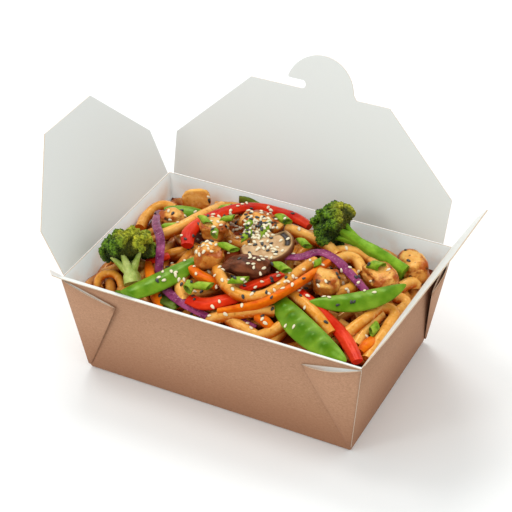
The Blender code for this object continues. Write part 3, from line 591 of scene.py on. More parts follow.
def curves_through(paths, ends=(1.0, 1.0), tilt=0.0):
    """Curves through lists of points, each with a size, and with a share of it at the ends."""
    curve = bpy.data.curves.new("paths", "CURVE")
    curve.dimensions = "3D"
    curve.resolution_u = 12
    for points, size in paths:
        spline = curve.splines.new("BEZIER")
        spline.bezier_points.add(len(points) - 1)
        for point, place in zip(spline.bezier_points, points):
            point.co = place
            point.handle_left_type = point.handle_right_type = "AUTO"
            point.radius = size
            point.tilt = math.radians(tilt)
        spline.bezier_points[0].radius = size * ends[0]
        spline.bezier_points[-1].radius = size * ends[1]
    return shown("paths", curve)


def ball(detail):
    """A ball of radius 1 as a bmesh."""
    shape = bmesh.new()
    bmesh.ops.create_icosphere(shape, subdivisions=detail, radius=1)
    return shape


def placed(shape, name, where, material, smooth=60):
    """A piece from a bmesh drawn about the origin, set down where it lies."""
    bmesh.ops.transform(shape, matrix=where, verts=shape.verts)
    return piece_of(shape, name, [material], smooth)


def chunk(place, size, heading, pitch, roll, rough, seed, name, material, square=0.7):
    """An uneven chunk: a ball squared up, scaled and roughened.

    Each point keeps how near the chunk's edges it is.
    """
    shape = ball(5)
    offset = Vector((seed * 3.1, seed * 1.7, seed * 0.9))
    edges = [(1 - max(abs(value) for value in vert.co)) / CORNER_DEPTH for vert in shape.verts]
    for vert in shape.verts:
        squared = Vector([math.copysign(abs(value) ** square, value) for value in vert.co]) * 0.95
        swell = 1 + rough * 2 * noise.noise(vert.co * 1.3 + offset)
        swell += 0.05 * noise.noise(vert.co * 3.4 + offset) + 0.015 * noise.noise(vert.co * 9 + offset)
        vert.co = Vector([squared[i] * swell * size[i] * MM / 2 for i in range(3)])
    piece = placed(shape, name, frame_at(place, heading, pitch, roll), material)
    keep(piece, "edge", edges)
    return piece


def held_inside(point):
    """The point, moved in to the wall where it lies beyond one."""
    high = min(point.z, BOX_HEIGHT)
    deep = tray_point(1, 1, high).y - BOARD - WALL_GAP
    y = max(-deep, min(deep, point.y))
    wide = [abs(tray_point(side, y / deep, high).x) - BOARD - WALL_GAP for side in (-1, 1)]
    return Vector((max(-wide[0], min(wide[1], point.x)), y, point.z))


def on_box(piece, slot, *nodes):
    """The piece lies in the box and stands for the nodes. Slot is not used.

    Each of its points is kept off the walls, and keeps how deep it lies in the food, for the
    darkening there, which is partly the sauce that gathers there and partly painted shade.
    """
    depths = []
    for vert in piece.data.vertices:
        vert.co = held_inside(vert.co)
        below = heap_level(vert.co.x, vert.co.y) + SAUCE_AND_SHADE_LINE - vert.co.z
        depths.append(max(0.0, min(1.0, below / SAUCE_AND_SHADE_DEPTH)))
    keep(piece, "depth", depths)
    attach(piece, "box")
    if nodes:
        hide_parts(*nodes)
    food.append(piece)


strand_tree = laid_strand_tree()
food = []


# ======== the noodles
# Thick wheat noodles, 6 to 7 mm across, tossed in a dark sweet sauce that turns them from
# cream to golden brown and pools between them. They lie on a core that only fills the box.
# Their undersides, the darkening deep in the heap and the core also carry painted shade,
# and pale streaks on them are painted highlights.

NOODLE_RADIUS = 3.3
NOODLE_SIDES = 14
NOODLE_PATHS = [
    [(-74, -1, 4), (-77, 15, 5), (-74, 25, 6), (-65, 25, 4)],
    [(-42, 39, 6), (-48, 24, 7), (-53, 10, 7), (-60, -3, 6)],
    [(-67, -60, 0), (-70, -51, 3), (-67, -45, 4), (-61, -46, 3), (-54, -54, 0)],
    [(-30, -23, 2), (-27, -37, 3), (-18, -50, 2)],
    [(-18, -12, 5), (-12, -20, 7), (-3, -27.5, 8), (7, -31, 8), (15, -28, 8.5), (21, -16, 9), (24, -1, 8.5),
     (28, 13, 7.5)],
    [(-1, -61, 2), (9, -49, 4), (18, -41, 5), (28, -36, 3)],
    [(6, -51, 1), (18, -56, 2), (33, -61, 1)],
    [(38, -42, 2), (35, -52, 3), (30, -62, 1)],
    [(30, -18, 4), (47, -28, 6), (63, -41, 5)],
    [(70, -37, 3), (73, -24, 5), (77, -8, 4)],
    [(76, -10, 4), (84, -9, 5), (88, -21, 5), (89, -37, 4), (90, -53, 2)],
    [(79, -45, 1), (78, -28, 2), (80, -15, 2)],
    [(80, 3, 3), (89, 1, 4), (93, -9, 4), (93, -26, 2)],
    [(79, 11, 4), (86, 18, 5), (95, 15, 4)],
    [(33, 25, 5), (41, 30, 6), (52, 29, 6), (63, 22, 6), (75, 13, 4)],
    [(36, 17, 5), (45, 25, 6), (56, 15, 4)],
    [(1, 35, 7), (13, 33, 7), (25, 30.5, 7), (37, 23, 6)],
    [(-10, 53, 3), (-5, 56, 5), (1, 52, 4)],
    [(50, 12, 3), (56, 3, 4), (50, -10, 3)],
    [(-46, 50, 1), (-36, 48, 3.5), (-26, 47, 3.5), (-14, 49, 1)],
]
FILLER_COUNT, FILLER_STEPS, FILLER_STRIDE = 80, 6, 11.0
FILLER_STARTS, FILLER_LIMITS = ((-78, 80), (-52, 52)), (78, 52)
FILLER_DEPTHS, FILLER_TURN = (-3.4, -0.6), 1.3
NOODLE_SIZES = {2: 0.7}
CORE_DROP, CORE_LUMPS, CORE_GRAIN = 3.2 * MM, 2.2 * MM, (16, 11)


def noodle_finish():
    """Cooked wheat noodle, wet with sauce: deeper orange on faces turned down as painted shade,
    pale streaks as painted highlights, and red brown deep in the heap, partly sauce and partly
    painted shade.
    """
    material, place = glazed("sauced_noodle", 0.17, 0.6, "#FFC880", 0.1, 0.003, (1.0, 0.45, 0.2))
    cloud, streak = speckle(place, 95, 3, 0.6), speckle(place, 420, 3)
    tone = maths("MULTIPLY_ADD", kept(place, "tint"), 0.55, cloud)
    colour = mixed(graded(tone, 0.42, 1.05), "#F2B45A", "#DE8E2A")
    # Painted shade: deeper orange on the faces turned down.
    colour = mixed(underside_shade(place, -0.1, 0.85, 1.0, "SMOOTHSTEP"), colour, "#C65A04")
    # Painted highlight: pale streaks along the noodles.
    colour = mixed(graded(streak, 0.46, 0.30, 0.0, 0.35), colour, "#F8CC84")
    colour = mixed(graded(streak, 0.58, 0.72, 0.0, 0.5), colour, "#A04C0C")
    # Red brown deep in the heap: partly the sauce that pools there, partly painted shade.
    colour = mixed(graded(kept(place, "depth"), 0.34, 0.86, 0.0, 0.92), colour, "#8E3004")
    return dressed(material, colour, streak, 0.2, 0.3 * MM)


def sauce_and_shade_finish():
    """Dark sauce between the noodles, with painted shade: nearly black brown in the deep gaps."""
    material, place = finish("dark_sauce", 0.5, Specular_IOR_Level=0.2, Specular_Tint=hue("#C05020"))
    cloud = speckle(place, 160, 4)
    return dressed(material, mixed(cloud, "#360C02", "#8A3206"), cloud, 0.5, 1 * MM)


def inside_walls(x, y, height, gap=WALL_GAP):
    """The place inside the walls at a height, with x and y running from -1 to 1."""
    point = tray_point(x, y, height)
    return Vector((point.x - x * (BOARD + gap), point.y - y * (BOARD + gap), height))


def kept_inside(point, margin):
    """The point, moved in where it comes nearer to a wall than margin."""
    high = inside_walls(1, 1, min(point.z, BOX_HEIGHT), margin)
    return Vector((max(-high.x + BACK_RIGHT_SPREAD, min(high.x - BACK_RIGHT_SPREAD, point.x)),
                   max(-high.y, min(high.y, point.y)), point.z))


def filler_paths():
    """Noodles that wander over the mound between and under the ones that are listed."""
    rng = random.Random(21)
    paths = []
    for _ in range(FILLER_COUNT):
        x, y = [rng.uniform(*span) for span in FILLER_STARTS]
        heading, curl = rng.uniform(0, 2 * math.pi), rng.uniform(-0.5, 0.5)
        depth = rng.uniform(*FILLER_DEPTHS)
        points = []
        for index in range(FILLER_STEPS):
            wave = math.sin(index * 1.9 + depth * 5) * 1.2
            point = Vector((x * MM, y * MM, heap_level(x * MM, y * MM) + (depth + wave) * MM))
            points.append(kept_inside(point, NOODLE_RADIUS * MM + 0.4 * MM))
            x += math.cos(heading) * FILLER_STRIDE
            y += math.sin(heading) * FILLER_STRIDE
            if abs(x) > FILLER_LIMITS[0] or abs(y) > FILLER_LIMITS[1]:
                heading += FILLER_TURN
            heading += curl
        paths.append((points, rng.uniform(0.86, 1.0)))
    return paths


dough = noodle_finish()
laid = []
for index, places in enumerate(NOODLE_PATHS):
    points = [kept_inside(on_heap(*place), NOODLE_RADIUS * MM) for place in places]
    laid.append((points, NOODLE_SIZES.get(index, 1.0)))
noodles = grown(curves_through(laid + filler_paths()), "noodles", strand_tree, dough,
                profile=profile(round_section(NOODLE_RADIUS, NOODLE_SIDES), smooth=False),
                ring_spacing=1.6 * MM, wobble=0.7 * MM, wobble_grain=90.0, seed=4)

# The core below the noodles: sauce colour darkened to near black as painted shade in the gaps.
shape = bmesh.new()
bmesh.ops.create_grid(shape, x_segments=60, y_segments=40, size=1)
rim = [edge for edge in shape.edges if edge.is_boundary]
for vert in shape.verts:
    x, y = vert.co.x, vert.co.y
    height = heap_level(x * HEAP_HALF_LENGTH, y * HEAP_HALF_WIDTH) - CORE_DROP
    height += CORE_LUMPS * noise.noise(Vector((x * CORE_GRAIN[0], y * CORE_GRAIN[1], 0.3)))
    vert.co = inside_walls(x, y, height)
skirt = bmesh.ops.extrude_edge_only(shape, edges=rim)["geom"]
for vert in [item for item in skirt if isinstance(item, bmesh.types.BMVert)]:
    above = inside_walls(1, 1, vert.co.z)
    vert.co = inside_walls(vert.co.x / above.x, vert.co.y / above.y, BOARD + WALL_GAP)
foot = [item for item in skirt if isinstance(item, bmesh.types.BMEdge) and item.is_boundary]
bmesh.ops.contextual_create(shape, geom=foot)
core = piece_of(shape, "sauce_core", [sauce_and_shade_finish()], 60)
on_box(core, "noodle")
on_box(noodles, "noodle", "noodle_heap")

wide_end = chunk((-59, 39, 8), (16, 4, 13), 24, -8, -24, 0.08, 9, "noodle_sheet_piece", dough)
on_box(wide_end, "noodle", "noodle_sheet")


# ======== peppers, carrots and cabbage
# Strips cut from sweet red pepper, carrot and red cabbage, fried for a moment so that they
# stay bright and firm, with a skin of oil.

PEPPER_STRIPS = {
    "pepper_arc": ([(-41, -3, 7), (-46, 9, 8), (-44, 22, 8), (-39, 33, 8.5), (-32, 42, 9), (-23, 47, 9),
                    (-12, 48, 9), (-1, 47, 9), (11, 43, 7)], 8.5, 5.0),
    "pepper_long": ([(28, -13, 6), (42, -21, 6), (53, -28, 6), (65, -36, 5.5), (75, -45, 6), (84, -55, 7)],
                    8, 4.6),
    "pepper_middle": ([(4, -27, 4.5), (10, -16, 5.5), (18, -5, 5.5)], 8, 4.6),
    "pepper_front": ([(-17, -46, 5), (-8, -46, 6), (0, -39, 5), (8, -29, 3)], 10, 5.5),
    "pepper_small": ([(-54, -26, 3), (-50, -21, 4), (-46, -16, 3)], 7, 4.4),
}
CARROT_STRIPS = {
    "carrot_long": ([(2, -49, 6), (11, -41, 8), (19, -32, 9.5), (25, -18, 10.5), (30, -2, 10.5),
                     (35, 18, 9)], 3.8, 3.8),
    "carrot_left": ([(-52, -28, 3), (-47, -35, 4), (-41, -43, 4.5), (-33, -53, 4), (-26, -60, 3)], 5, 4.4),
    "carrot_bent": ([(-29, -21, 5.5), (-21, -25, 6), (-14, -27, 5), (-8, -30, 3.5)], 5.5, 4),
    "carrot_front": ([(22, -44, 4), (28, -46, 5), (36, -52, 3)], 5, 4.2),
    "carrot_corner": ([(83, -48, 3), (84, -42, 4), (86, -34, 3)], 6, 4.4),
}
CABBAGE_STRIPS = {
    "cabbage_arch": ([(9, 9, 8), (19, 14, 9.5), (26, 22, 10.5), (34, 21, 11), (47, 13, 10), (66, -1, 7)],
                     5.8, 2.4),
    "cabbage_left": ([(-73, 19, 8), (-67, 8, 11), (-55, -7, 12), (-49, -19, 10), (-42, -33, 3.5),
                      (-33, -43, 4), (-20, -50, 5), (-1, -56, 6)], 5.0, 2.4),
    "cabbage_front": ([(8, -50, 1.5), (16, -51, 2.5), (26, -53, 1.5)], 5, 2.4),
}
BEAN_STALK = {"bean_stalk": ([(-37, 53, 8), (-31, 52, 8), (-24, 50, 7)], 5.5, 5)}
STRIP_TILTS = {"cabbage_left": 15}
STRIP_ENDS = (0.8, 0.8)


def strip_section(width, thickness, kind):
    """The cut face of a strip: pepper is arched and thick, carrot square, cabbage a thin crescent."""
    half, deep = width / 2, thickness / 2
    if kind == "carrot":
        return [(half, deep * 0.7), (half * 0.75, deep), (-half * 0.75, deep), (-half, deep * 0.7),
                (-half, -deep * 0.7), (-half * 0.75, -deep), (half * 0.75, -deep), (half, -deep * 0.7)]
    arch = 0.9 if kind == "pepper" else 0.7
    upper = [(half * x, deep * (1 - abs(x) ** 3) * 0.9 + arch * (1 - x * x))
             for x in (1, 0.8, 0.4, 0, -0.4, -0.8, -1)]
    lower = [(half * x * 0.92, -deep * (1 - abs(x) ** 4) * 0.9 + arch * (1 - x * x) * 0.5)
             for x in (-0.85, -0.4, 0, 0.4, 0.85)]
    return upper + lower


def plant_finish(name, light, deep, roughness, grain, stretch=(1, 1, 1), fleck=None):
    """Cut vegetable flesh: two tones that run along its grain, wet with oil, darker on faces turned
    down as painted shade and deep in the heap, partly sauce and partly painted shade.
    """
    material, place = glazed(name, roughness, 0.45, light, 0.08)
    cloud = speckle(along_axes(place, stretch), grain, 4, 0.6)
    colour = mixed(graded(cloud, 0.34, 0.66), deep, light)
    # Painted shade: the deep tone on the faces turned down.
    colour = mixed(underside_shade(place, -0.3, 0.6, 0.7), colour, deep)
    if fleck:
        colour = mixed(graded(speckle(place, grain * 5, 2), 0.6, 0.7, 0.0, 0.6), colour, fleck)
    # Dark brown deep in the heap: partly sauce, partly painted shade.
    colour = mixed(graded(kept(place, "depth"), 0.5, 1.0, 0.0, 0.7), colour, "#5E2408")
    return dressed(material, colour, cloud, 0.25, 0.4 * MM)


red_skin = plant_finish("pepper_skin", "#E2401A", "#BE1404", 0.2, 70)
orange_flesh = plant_finish("carrot_flesh", "#EC7C12", "#D05004", 0.3, 180, stretch=(1, 1, 3))
purple_leaf = plant_finish("cabbage_leaf", "#A24C76", "#641A42", 0.22, 150, fleck="#C08AA4")
green_stalk = plant_finish("bean_skin", "#7D8A34", "#4E5A14", 0.25, 90)

for strips, kind, flesh, slot in (
    (PEPPER_STRIPS, "pepper", red_skin, "red_pepper"),
    (CARROT_STRIPS, "carrot", orange_flesh, "carrot"),
    (CABBAGE_STRIPS, "cabbage", purple_leaf, "red_cabbage"),
    (BEAN_STALK, "carrot", green_stalk, "pea_pod"),
):
    for number, (node, (places, width, thickness)) in enumerate(strips.items()):
        paths = [([on_heap(*place) for place in places], 1.0)]
        piece = grown(curves_through(paths, STRIP_ENDS, STRIP_TILTS.get(node, 0)), node + "_strip",
                      strand_tree, flesh, profile=profile(strip_section(width, thickness, kind)),
                      ring_spacing=0.9 * MM, wobble=0.6 * MM, wobble_grain=160.0, seed=number)
        on_box(piece, slot, node)


# ======== the pea pods
# Whole flat pea pods: two thin halves that meet in a seam along both edges, with the small
# peas pressing through as darker bumps. A row says where a pod lies, its length and width, its
# heading, pitch and roll in degrees, how far it bends, its peas and how high they stand.

PEA_PODS = {
    "pea_pod_left": ((-41, -36, 9.5), 64, 11.5, 60, -5, 16, -3, 5, 0.6),
    "pea_pod_front": ((48.5, -38.6, 8.5), 65, 14.5, -29, 4, 20, -3.5, 5, 2.1),
    "pea_pod_right": ((60, -2.5, 11), 53, 11.5, 42, 0, 24, -5, 5, 0.6),
    "pea_pod_back": ((-59, 26, 6), 25, 9, 14, 0, 14, -1, 2, 0.4),
}
POD_HALF_THICKNESS = 1.9
PEA_SPAN, PEA_LENGTH, PEA_WIDTH, PEA_TINT = 0.55, 0.105, 0.5, 0.35
SEAM_PLACE, SEAM_WIDTH, SEAM_RISE = 0.93, 0.07, 0.35


def pod_finish():
    """Pea pod skin: waxy bright green, darker over each pea."""
    material, place = glazed("pod_skin", 0.25, 0.45, "#B8E070", 0.08)
    cloud = speckle(place, 120, 4)
    green = mixed(graded(cloud, 0.35, 0.65), "#56800A", "#7EA028")
    return dressed(material, mixed(kept(place, "pea"), green, "#3E6C04"), cloud, 0.15, 0.4 * MM)


pod_skin = pod_finish()
for node, (place, length, width, heading, pitch, roll, bend, peas, bump) in PEA_PODS.items():
    seats = [-PEA_SPAN + 2 * PEA_SPAN * index / (peas - 1) for index in range(peas)]
    shape = bmesh.new()
    bmesh.ops.create_uvsphere(shape, u_segments=40, v_segments=72, radius=1)
    pressed = []
    for vert in shape.verts:
        along, across, up = vert.co.z, vert.co.x, vert.co.y
        swell = sum(math.exp(-((along - seat) / PEA_LENGTH) ** 2) for seat in seats)
        pea = swell * math.exp(-(across / PEA_WIDTH) ** 2)
        pressed.append(min(1.0, pea * PEA_TINT * (1 + bump)))
        taper = max(0.02, 1 - along * along) ** 0.12
        seam = math.exp(-((abs(across) - SEAM_PLACE) / SEAM_WIDTH) ** 2) * SEAM_RISE
        thick = POD_HALF_THICKNESS + bump * pea + seam
        vert.co = Vector((along * length / 2, across * taper * width / 2 + bend * (1 - along * along),
                          up * taper * thick)) * MM
    piece = placed(shape, node + "_pod", frame_at(place, heading, pitch, roll), pod_skin, 70)
    keep(piece, "pea", pressed)
    on_box(piece, "pea_pod", node)


# ======== the broccoli
# Two florets, boiled and tossed: a pale stem that forks under a crown of tight clusters, each
# covered with hundreds of closed flower buds about 1.2 mm across.

FLORETS = {
    "broccoli_left": {
        "crown": (-67, -22, 13), "foot": (-50.5, -48, 3), "radius": 15.0, "height": 10.5,
        "stem": 4.8, "fork": 0.42, "clusters": 18, "seed": 8,
        "branches": [(-0.62, 0.1, 0.4), (-0.2, 0.3, 0.5), (0.14, -0.4, 0.42), (0.44, 0.2, 0.42)],
        "skin": ("#DCE28E", "#86A428"), "ripe": (-68, -11, 20),
    },
    "broccoli_right": {
        "crown": (25, 46.5, 14), "foot": (76, 25, 9), "radius": 14.0, "height": 11.5,
        "stem": 4.3, "fork": 0.78, "clusters": 17, "seed": 3,
        "branches": [(-0.36, 0.1, 0.5), (0.0, 0.25, 0.6), (0.36, 0.0, 0.5)],
        "skin": ("#88B030", "#5A8414"), "ripe": (26, 60, 24),
    },
}
BUD_SIZE, BUD_SPACING = 0.62 * MM, 1.0 * MM
RIPE_REACH = 14 * MM
CLUSTER_GRAIN, CLUSTER_ROUGHNESS = 300, 0.5
GOLDEN_TURN = 2.39996
STEM_SIDES, STEM_RIB = 20, 0.06


def bud_tree():
    """Covers a mesh with small round buds, spaced evenly and each turned and sized at random."""
    tree, given = node_group("flower_buds", Bud_Size="Float", Bud_Spacing="Float", Seed="Int")
    spots = put(tree, "GeometryNodeDistributePointsOnFaces",
                {"Mesh": given["Geometry"], "Distance Min": given["Bud Spacing"], "Density Max": 2.0e6,
                 "Seed": given["Seed"]}, distribute_method="POISSON").outputs
    bud = put(tree, "GeometryNodeMeshIcoSphere", {"Radius": given["Bud Size"], "Subdivisions": 1})
    buds = put(tree, "GeometryNodeInstanceOnPoints",
               {"Points": spots["Points"], "Instance": bud, "Rotation": spots["Rotation"],
                "Scale": chance(given, 0.75, 1.3)})
    both = put(tree, "GeometryNodeJoinGeometry", {0: buds})
    tree.links.new(given["Geometry"], both.inputs[0])
    return ended_group(tree, given, both)


def crown_finish(name, ripe):
    """Closed buds: deep blue green on top, turning yellow green where the head starts to ripen,
    and near black green in the crevices between clusters as painted shade.
    """
    material, place = finish(name, 0.55, Specular_IOR_Level=0.2)
    away = put(place.id_data, "ShaderNodeVectorMath", {0: place, 1: ripe}, operation="DISTANCE")
    near = graded(away.outputs["Value"], 0.4 * RIPE_REACH, RIPE_REACH, 1.0, 0.0, "SMOOTHSTEP")
    patchy = graded(speckle(place, 110, 2), 0.35, 0.65, 0.55, 1.0)
    share = graded(speckle(place, 700, 2), 0.38, 0.62)
    green, yellow = mixed(share, "#223E06", "#6C901A"), mixed(share, "#96981A", "#DCCE38")
    colour = mixed(maths("MULTIPLY", near, patchy), green, yellow)
    # Painted shade: near black green in the crevices, where points lie in from the crown's outside.
    gap = graded(kept(place, "outer"), 0.84, 1.0, 0.85, 0.0)
    return dressed(material, mixed(gap, colour, "#141F04"))


def cluster(middle, radius, detail):
    """A round cluster of buds with a slightly uneven surface."""
    shape = ball(detail)
    for vert in shape.verts:
        lump = noise.noise((middle + vert.co * radius) * CLUSTER_GRAIN)
        vert.co = middle + vert.co * radius * (1 + CLUSTER_ROUGHNESS * lump)
    return piece_of(shape, "cluster")


buds_on = bud_tree()
for node, plan in FLORETS.items():
    top, bottom = on_heap(*plan["crown"]), on_heap(*plan["foot"])
    axis = (top - bottom).normalized()
    place = Matrix.Translation(top) @ axis.to_track_quat("Z", "Y").to_matrix().to_4x4()
    rng = random.Random(plan["seed"])
    radius, height, clusters = plan["radius"], plan["height"], plan["clusters"]
    crown = ball(4)
    for vert in crown.verts:
        tall = height if vert.co.z > 0 else height * 0.45
        vert.co = place @ (Vector((vert.co.x * radius, vert.co.y * radius, vert.co.z * tall)) * 0.8 * MM)
    balls = [piece_of(crown, "cluster")]
    for index in range(clusters):
        tilt = math.acos(1 - 1.2 * (index + 0.5) / clusters)
        spin = index * GOLDEN_TURN + rng.uniform(-0.2, 0.2)
        tall = height if tilt < math.pi / 2 else height * 0.5
        reach = Vector((math.sin(tilt) * math.cos(spin) * radius, math.sin(tilt) * math.sin(spin) * radius,
                        math.cos(tilt) * tall))
        middle, size = place @ (reach * 0.78 * MM), rng.uniform(0.24, 0.31) * radius * MM
        balls.append(cluster(middle, size, 3))
        for _ in range(3):
            shift = Vector([rng.uniform(-1, 1) for _ in range(3)]) * size * 0.9
            balls.append(cluster(middle + shift, size * 0.5, 2))
    flower = crown_finish(node + "_buds", on_heap(*plan["ripe"]))
    whole = joined("clusters", balls)
    # How far out from the crown's middle each point lies, for the painted shade in the crevices.
    local = [place.inverted() @ vert.co / MM for vert in whole.data.vertices]
    outer = [math.hypot(spot.x / radius, spot.y / radius, spot.z / height) for spot in local]
    keep(whole, "outer", outer)
    head = grown(whole, node + "_head", buds_on, flower, bud_size=BUD_SIZE, bud_spacing=BUD_SPACING,
                 seed=plan["seed"])
    neck = top - axis * height * 0.2 * MM
    fork = bottom.lerp(neck, plan["fork"])
    aside = axis.cross(SIGHT).normalized() * radius * MM
    toward = aside.cross(axis)
    stalks = [([bottom, bottom.lerp(fork, 0.6), fork.lerp(neck, 0.3)], 1.0)]
    for left, ahead, size in plan["branches"]:
        side = aside * left + toward * ahead
        stalks.append(([bottom.lerp(fork, 0.55), fork.lerp(neck, 0.3) + side * 0.4, neck + side], size))
    stem = grown(curves_through(stalks, (1.0, 0.5)), node + "_stem", strand_tree,
                 plant_finish(node + "_stalk", *plan["skin"], 0.3, 160),
                 profile=profile(round_section(plan["stem"], STEM_SIDES, STEM_RIB), smooth=False),
                 ring_spacing=1.0 * MM, wobble=0.8 * MM, wobble_grain=120.0, seed=1)
    on_box(stem, "broccoli")
    on_box(head, "broccoli", node)


# ======== mushrooms and chicken
# A lengthwise slice and a browned wedge of mushroom, and cubes of chicken seared in the pan:
# cream flesh, golden sides and dark spots where they caught. A row says where a cube lies, its
# size, its heading, pitch and roll in degrees and the seed of its lumps.

CHICKEN = {
    "chicken_1": ((-25, -6, 8.5), (16, 17, 13), 25, 6, 0, 1),
    "chicken_2": ((41, -1, 7), (14, 19, 12), 20, 4, 0, 2),
    "chicken_3": ((66, 15, 6.5), (23, 17, 12), -38, 0, 8, 3),
    "chicken_4": ((79, 31, 6), (25, 16, 14), -48, 0, 12, 4),
    "chicken_5": ((-35, 17, 7), (17, 15, 11), 10, 0, 0, 6),
    "chicken_6": ((-14, 33, 8), (24, 17, 9), -5, 0, 0, 7),
    "chicken_7": ((-62, 16, 5), (15, 14, 10), 35, 0, 0, 8),
}


def chicken_finish():
    """Seared chicken: pale flesh, golden crust and a few brown to black spots, glazed with sauce,
    darker orange on faces turned down as painted shade and deep in the heap, partly sauce and
    partly painted shade.
    """
    material, place = glazed("seared_chicken", 0.28, 0.45, "#FFD090", 0.1, 0.003)
    cloud, dots = speckle(place, 110, 5, 0.65), speckle(place, 300, 4)
    crust = maths("MULTIPLY_ADD", kept(place, "edge"), 0.32, cloud)
    burnt = maths("MULTIPLY_ADD", kept(place, "edge"), 0.1, dots)
    colour = mixed(graded(cloud, 0.38, 0.62), "#ECB45E", "#D88220")
    colour = mixed(graded(crust, 0.54, 0.72), colour, "#A2460C")
    colour = mixed(graded(burnt, 0.64, 0.72), colour, "#3E1B0A")
    # Painted shade: darker orange on the faces turned down.
    colour = mixed(underside_shade(place, -0.2, 0.7, 0.8), colour, "#BC6820")
    # Dark brown deep in the heap: partly sauce, partly painted shade.
    colour = mixed(graded(kept(place, "depth"), 0.5, 1.0, 0.0, 0.8), colour, "#6E2C0A")
    return dressed(material, colour, cloud, 0.45, 0.8 * MM)


meat = chicken_finish()
for node, (place, size, heading, pitch, roll, seed) in CHICKEN.items():
    on_box(chunk(place, size, heading, pitch, roll, 0.12, seed, node + "_cube", meat), "chicken", node)

MUSHROOM_RADIUS, MUSHROOM_THICKNESS, MUSHROOM_ROUND, MUSHROOM_RINGS = 12.5, 5.5, 1.4, 22
GILL_ARC, GILL_FADE, GILL_REACH, GILL_WIDTH, GILL_DEPTH = (44, 128), 14, 0.76, 0.13, 1.2
CAP_STRETCH, CAP_BACK, CAP_SKIN_WIDTH, CAP_SKIN_FADE = 1.2, -0.38, 0.07, 0.03


def mushroom_finish():
    """Cut mushroom: cream flesh, a brown skin round the cap and dark gills at one side."""
    material, place = finish("cut_mushroom", 0.5, Specular_IOR_Level=0.15, Coat_Weight=0.2,
                             Coat_Roughness=0.2)
    cloud = speckle(place, 260, 4)
    colour = mixed(graded(cloud, 0.35, 0.65), "#B0824C", "#D2AA76")
    colour = mixed(kept(place, "skin"), colour, "#703A1C")
    colour = mixed(kept(place, "gill"), colour, "#2A1A10")
    return dressed(material, colour, cloud, 0.3, 0.3 * MM)


CAP_TURNS = [math.radians(angle) for angle in range(-112, 113, 4)]
CAP = [Vector((math.cos(turn), CAP_STRETCH * math.sin(turn))) for turn in CAP_TURNS]
STALK = [Vector(point) for point in ((-0.4, 0.5), (-0.7, 0.47), (-1.05, 0.45), (-1.05, 0.15),
                                     (-1.05, -0.15), (-1.05, -0.4), (-0.7, -0.46), (-0.4, -0.5))]
steps = [ring / MUSHROOM_RINGS for ring in range(1, MUSHROOM_RINGS + 1)]
levels = [(share, 1) for share in steps] + [(1.0, 0)] + [(share, -1) for share in reversed(steps)]
shape = bmesh.new()
loops, skins, gills = [], [], []
for share, side in levels:
    inset = max(0.0, 1 - (1 - share) * MUSHROOM_RADIUS / MUSHROOM_ROUND)
    rise = MUSHROOM_THICKNESS / 2 - MUSHROOM_ROUND * (1 - math.sqrt(1 - inset * inset) if side else 1)
    loop = []
    for corner in CAP + STALK:
        spot = corner * share
        level = spot.y / CAP_STRETCH
        reach, angle = math.hypot(spot.x, level), math.degrees(math.atan2(level, spot.x))
        in_arc = min(1.0, max(0.0, min(angle - GILL_ARC[0], GILL_ARC[1] - angle) / GILL_FADE))
        gill = in_arc * max(0.0, 1 - ((reach - GILL_REACH) / GILL_WIDTH) ** 4)
        gills.append(min(1.0, gill * 1.3) if side > 0 else 0.0)
        skin = min(1.0, max(0.0, (reach - 1 + CAP_SKIN_WIDTH) / CAP_SKIN_FADE))
        skins.append(skin if spot.x > CAP_BACK else 0.0)
        depth = rise - GILL_DEPTH * gills[-1]
        place = Vector((spot.x * MUSHROOM_RADIUS, spot.y * MUSHROOM_RADIUS, side * depth)) * MM
        loop.append(shape.verts.new(place))
    loops.append(loop)
bridged(shape, loops)
shape.faces.new(loops[0])
shape.faces.new(loops[-1])
mushroom = placed(shape, "mushroom_slice_cut", frame_at((-1, 14, 10), -38, 8, 8), mushroom_finish(), 55)
keep(mushroom, "skin", skins)
keep(mushroom, "gill", gills)
on_box(mushroom, "mushroom", "mushroom_slice")

cap_skin = plant_finish("browned_cap", "#80482E", "#381A10", 0.3, 150, stretch=(1, 2.2, 1))
wedge = chunk((-3, -7, 8.5), (27, 15, 10), 12, 0, 14, 0.14, 5, "mushroom_cap_wedge", cap_skin, square=0.97)
on_box(wedge, "mushroom", "mushroom_cap")


# ======== spring onion and greens
# Slanting cuts of spring onion top, hollow with thin walls, and one crumpled scrap of leaf. A
# row says where a cut lies, its length, its width and its heading.

ONION_CUTS = [
    ((-59, 9, 9), 10, 4.5, 32), ((-43, 22, 12), 10, 5, -38), ((-33, 14, 12), 8, 5, 112),
    ((-33, 29, 11), 9, 4.5, 42), ((-20, 5, 13), 12, 5, -12), ((-20, 29, 13.5), 10, 4.5, 88),
    ((-10, 29, 14.5), 14, 5.5, 86), ((-16, 19, 14), 11, 4.5, 76), ((-5, 42, 12), 9, 6, -30),
    ((15, 26, 12), 9, 5, -36), ((14, 1, 13), 11, 5.5, -26), ((-1, -19, 13), 10, 5, 28),
    ((-22, -36, 9), 7, 6.5, 100), ((-16, -32, 9), 11, 5.5, 16), ((59, 24, 12), 8, 7, 0),
    ((29, 13, 13), 6, 4.5, 60), ((81, -27, 6), 9, 5.5, 84), ((-40, 39, 8), 8, 4, 38),
]
ONION_WALL, ONION_SCALE = 0.22, 0.88


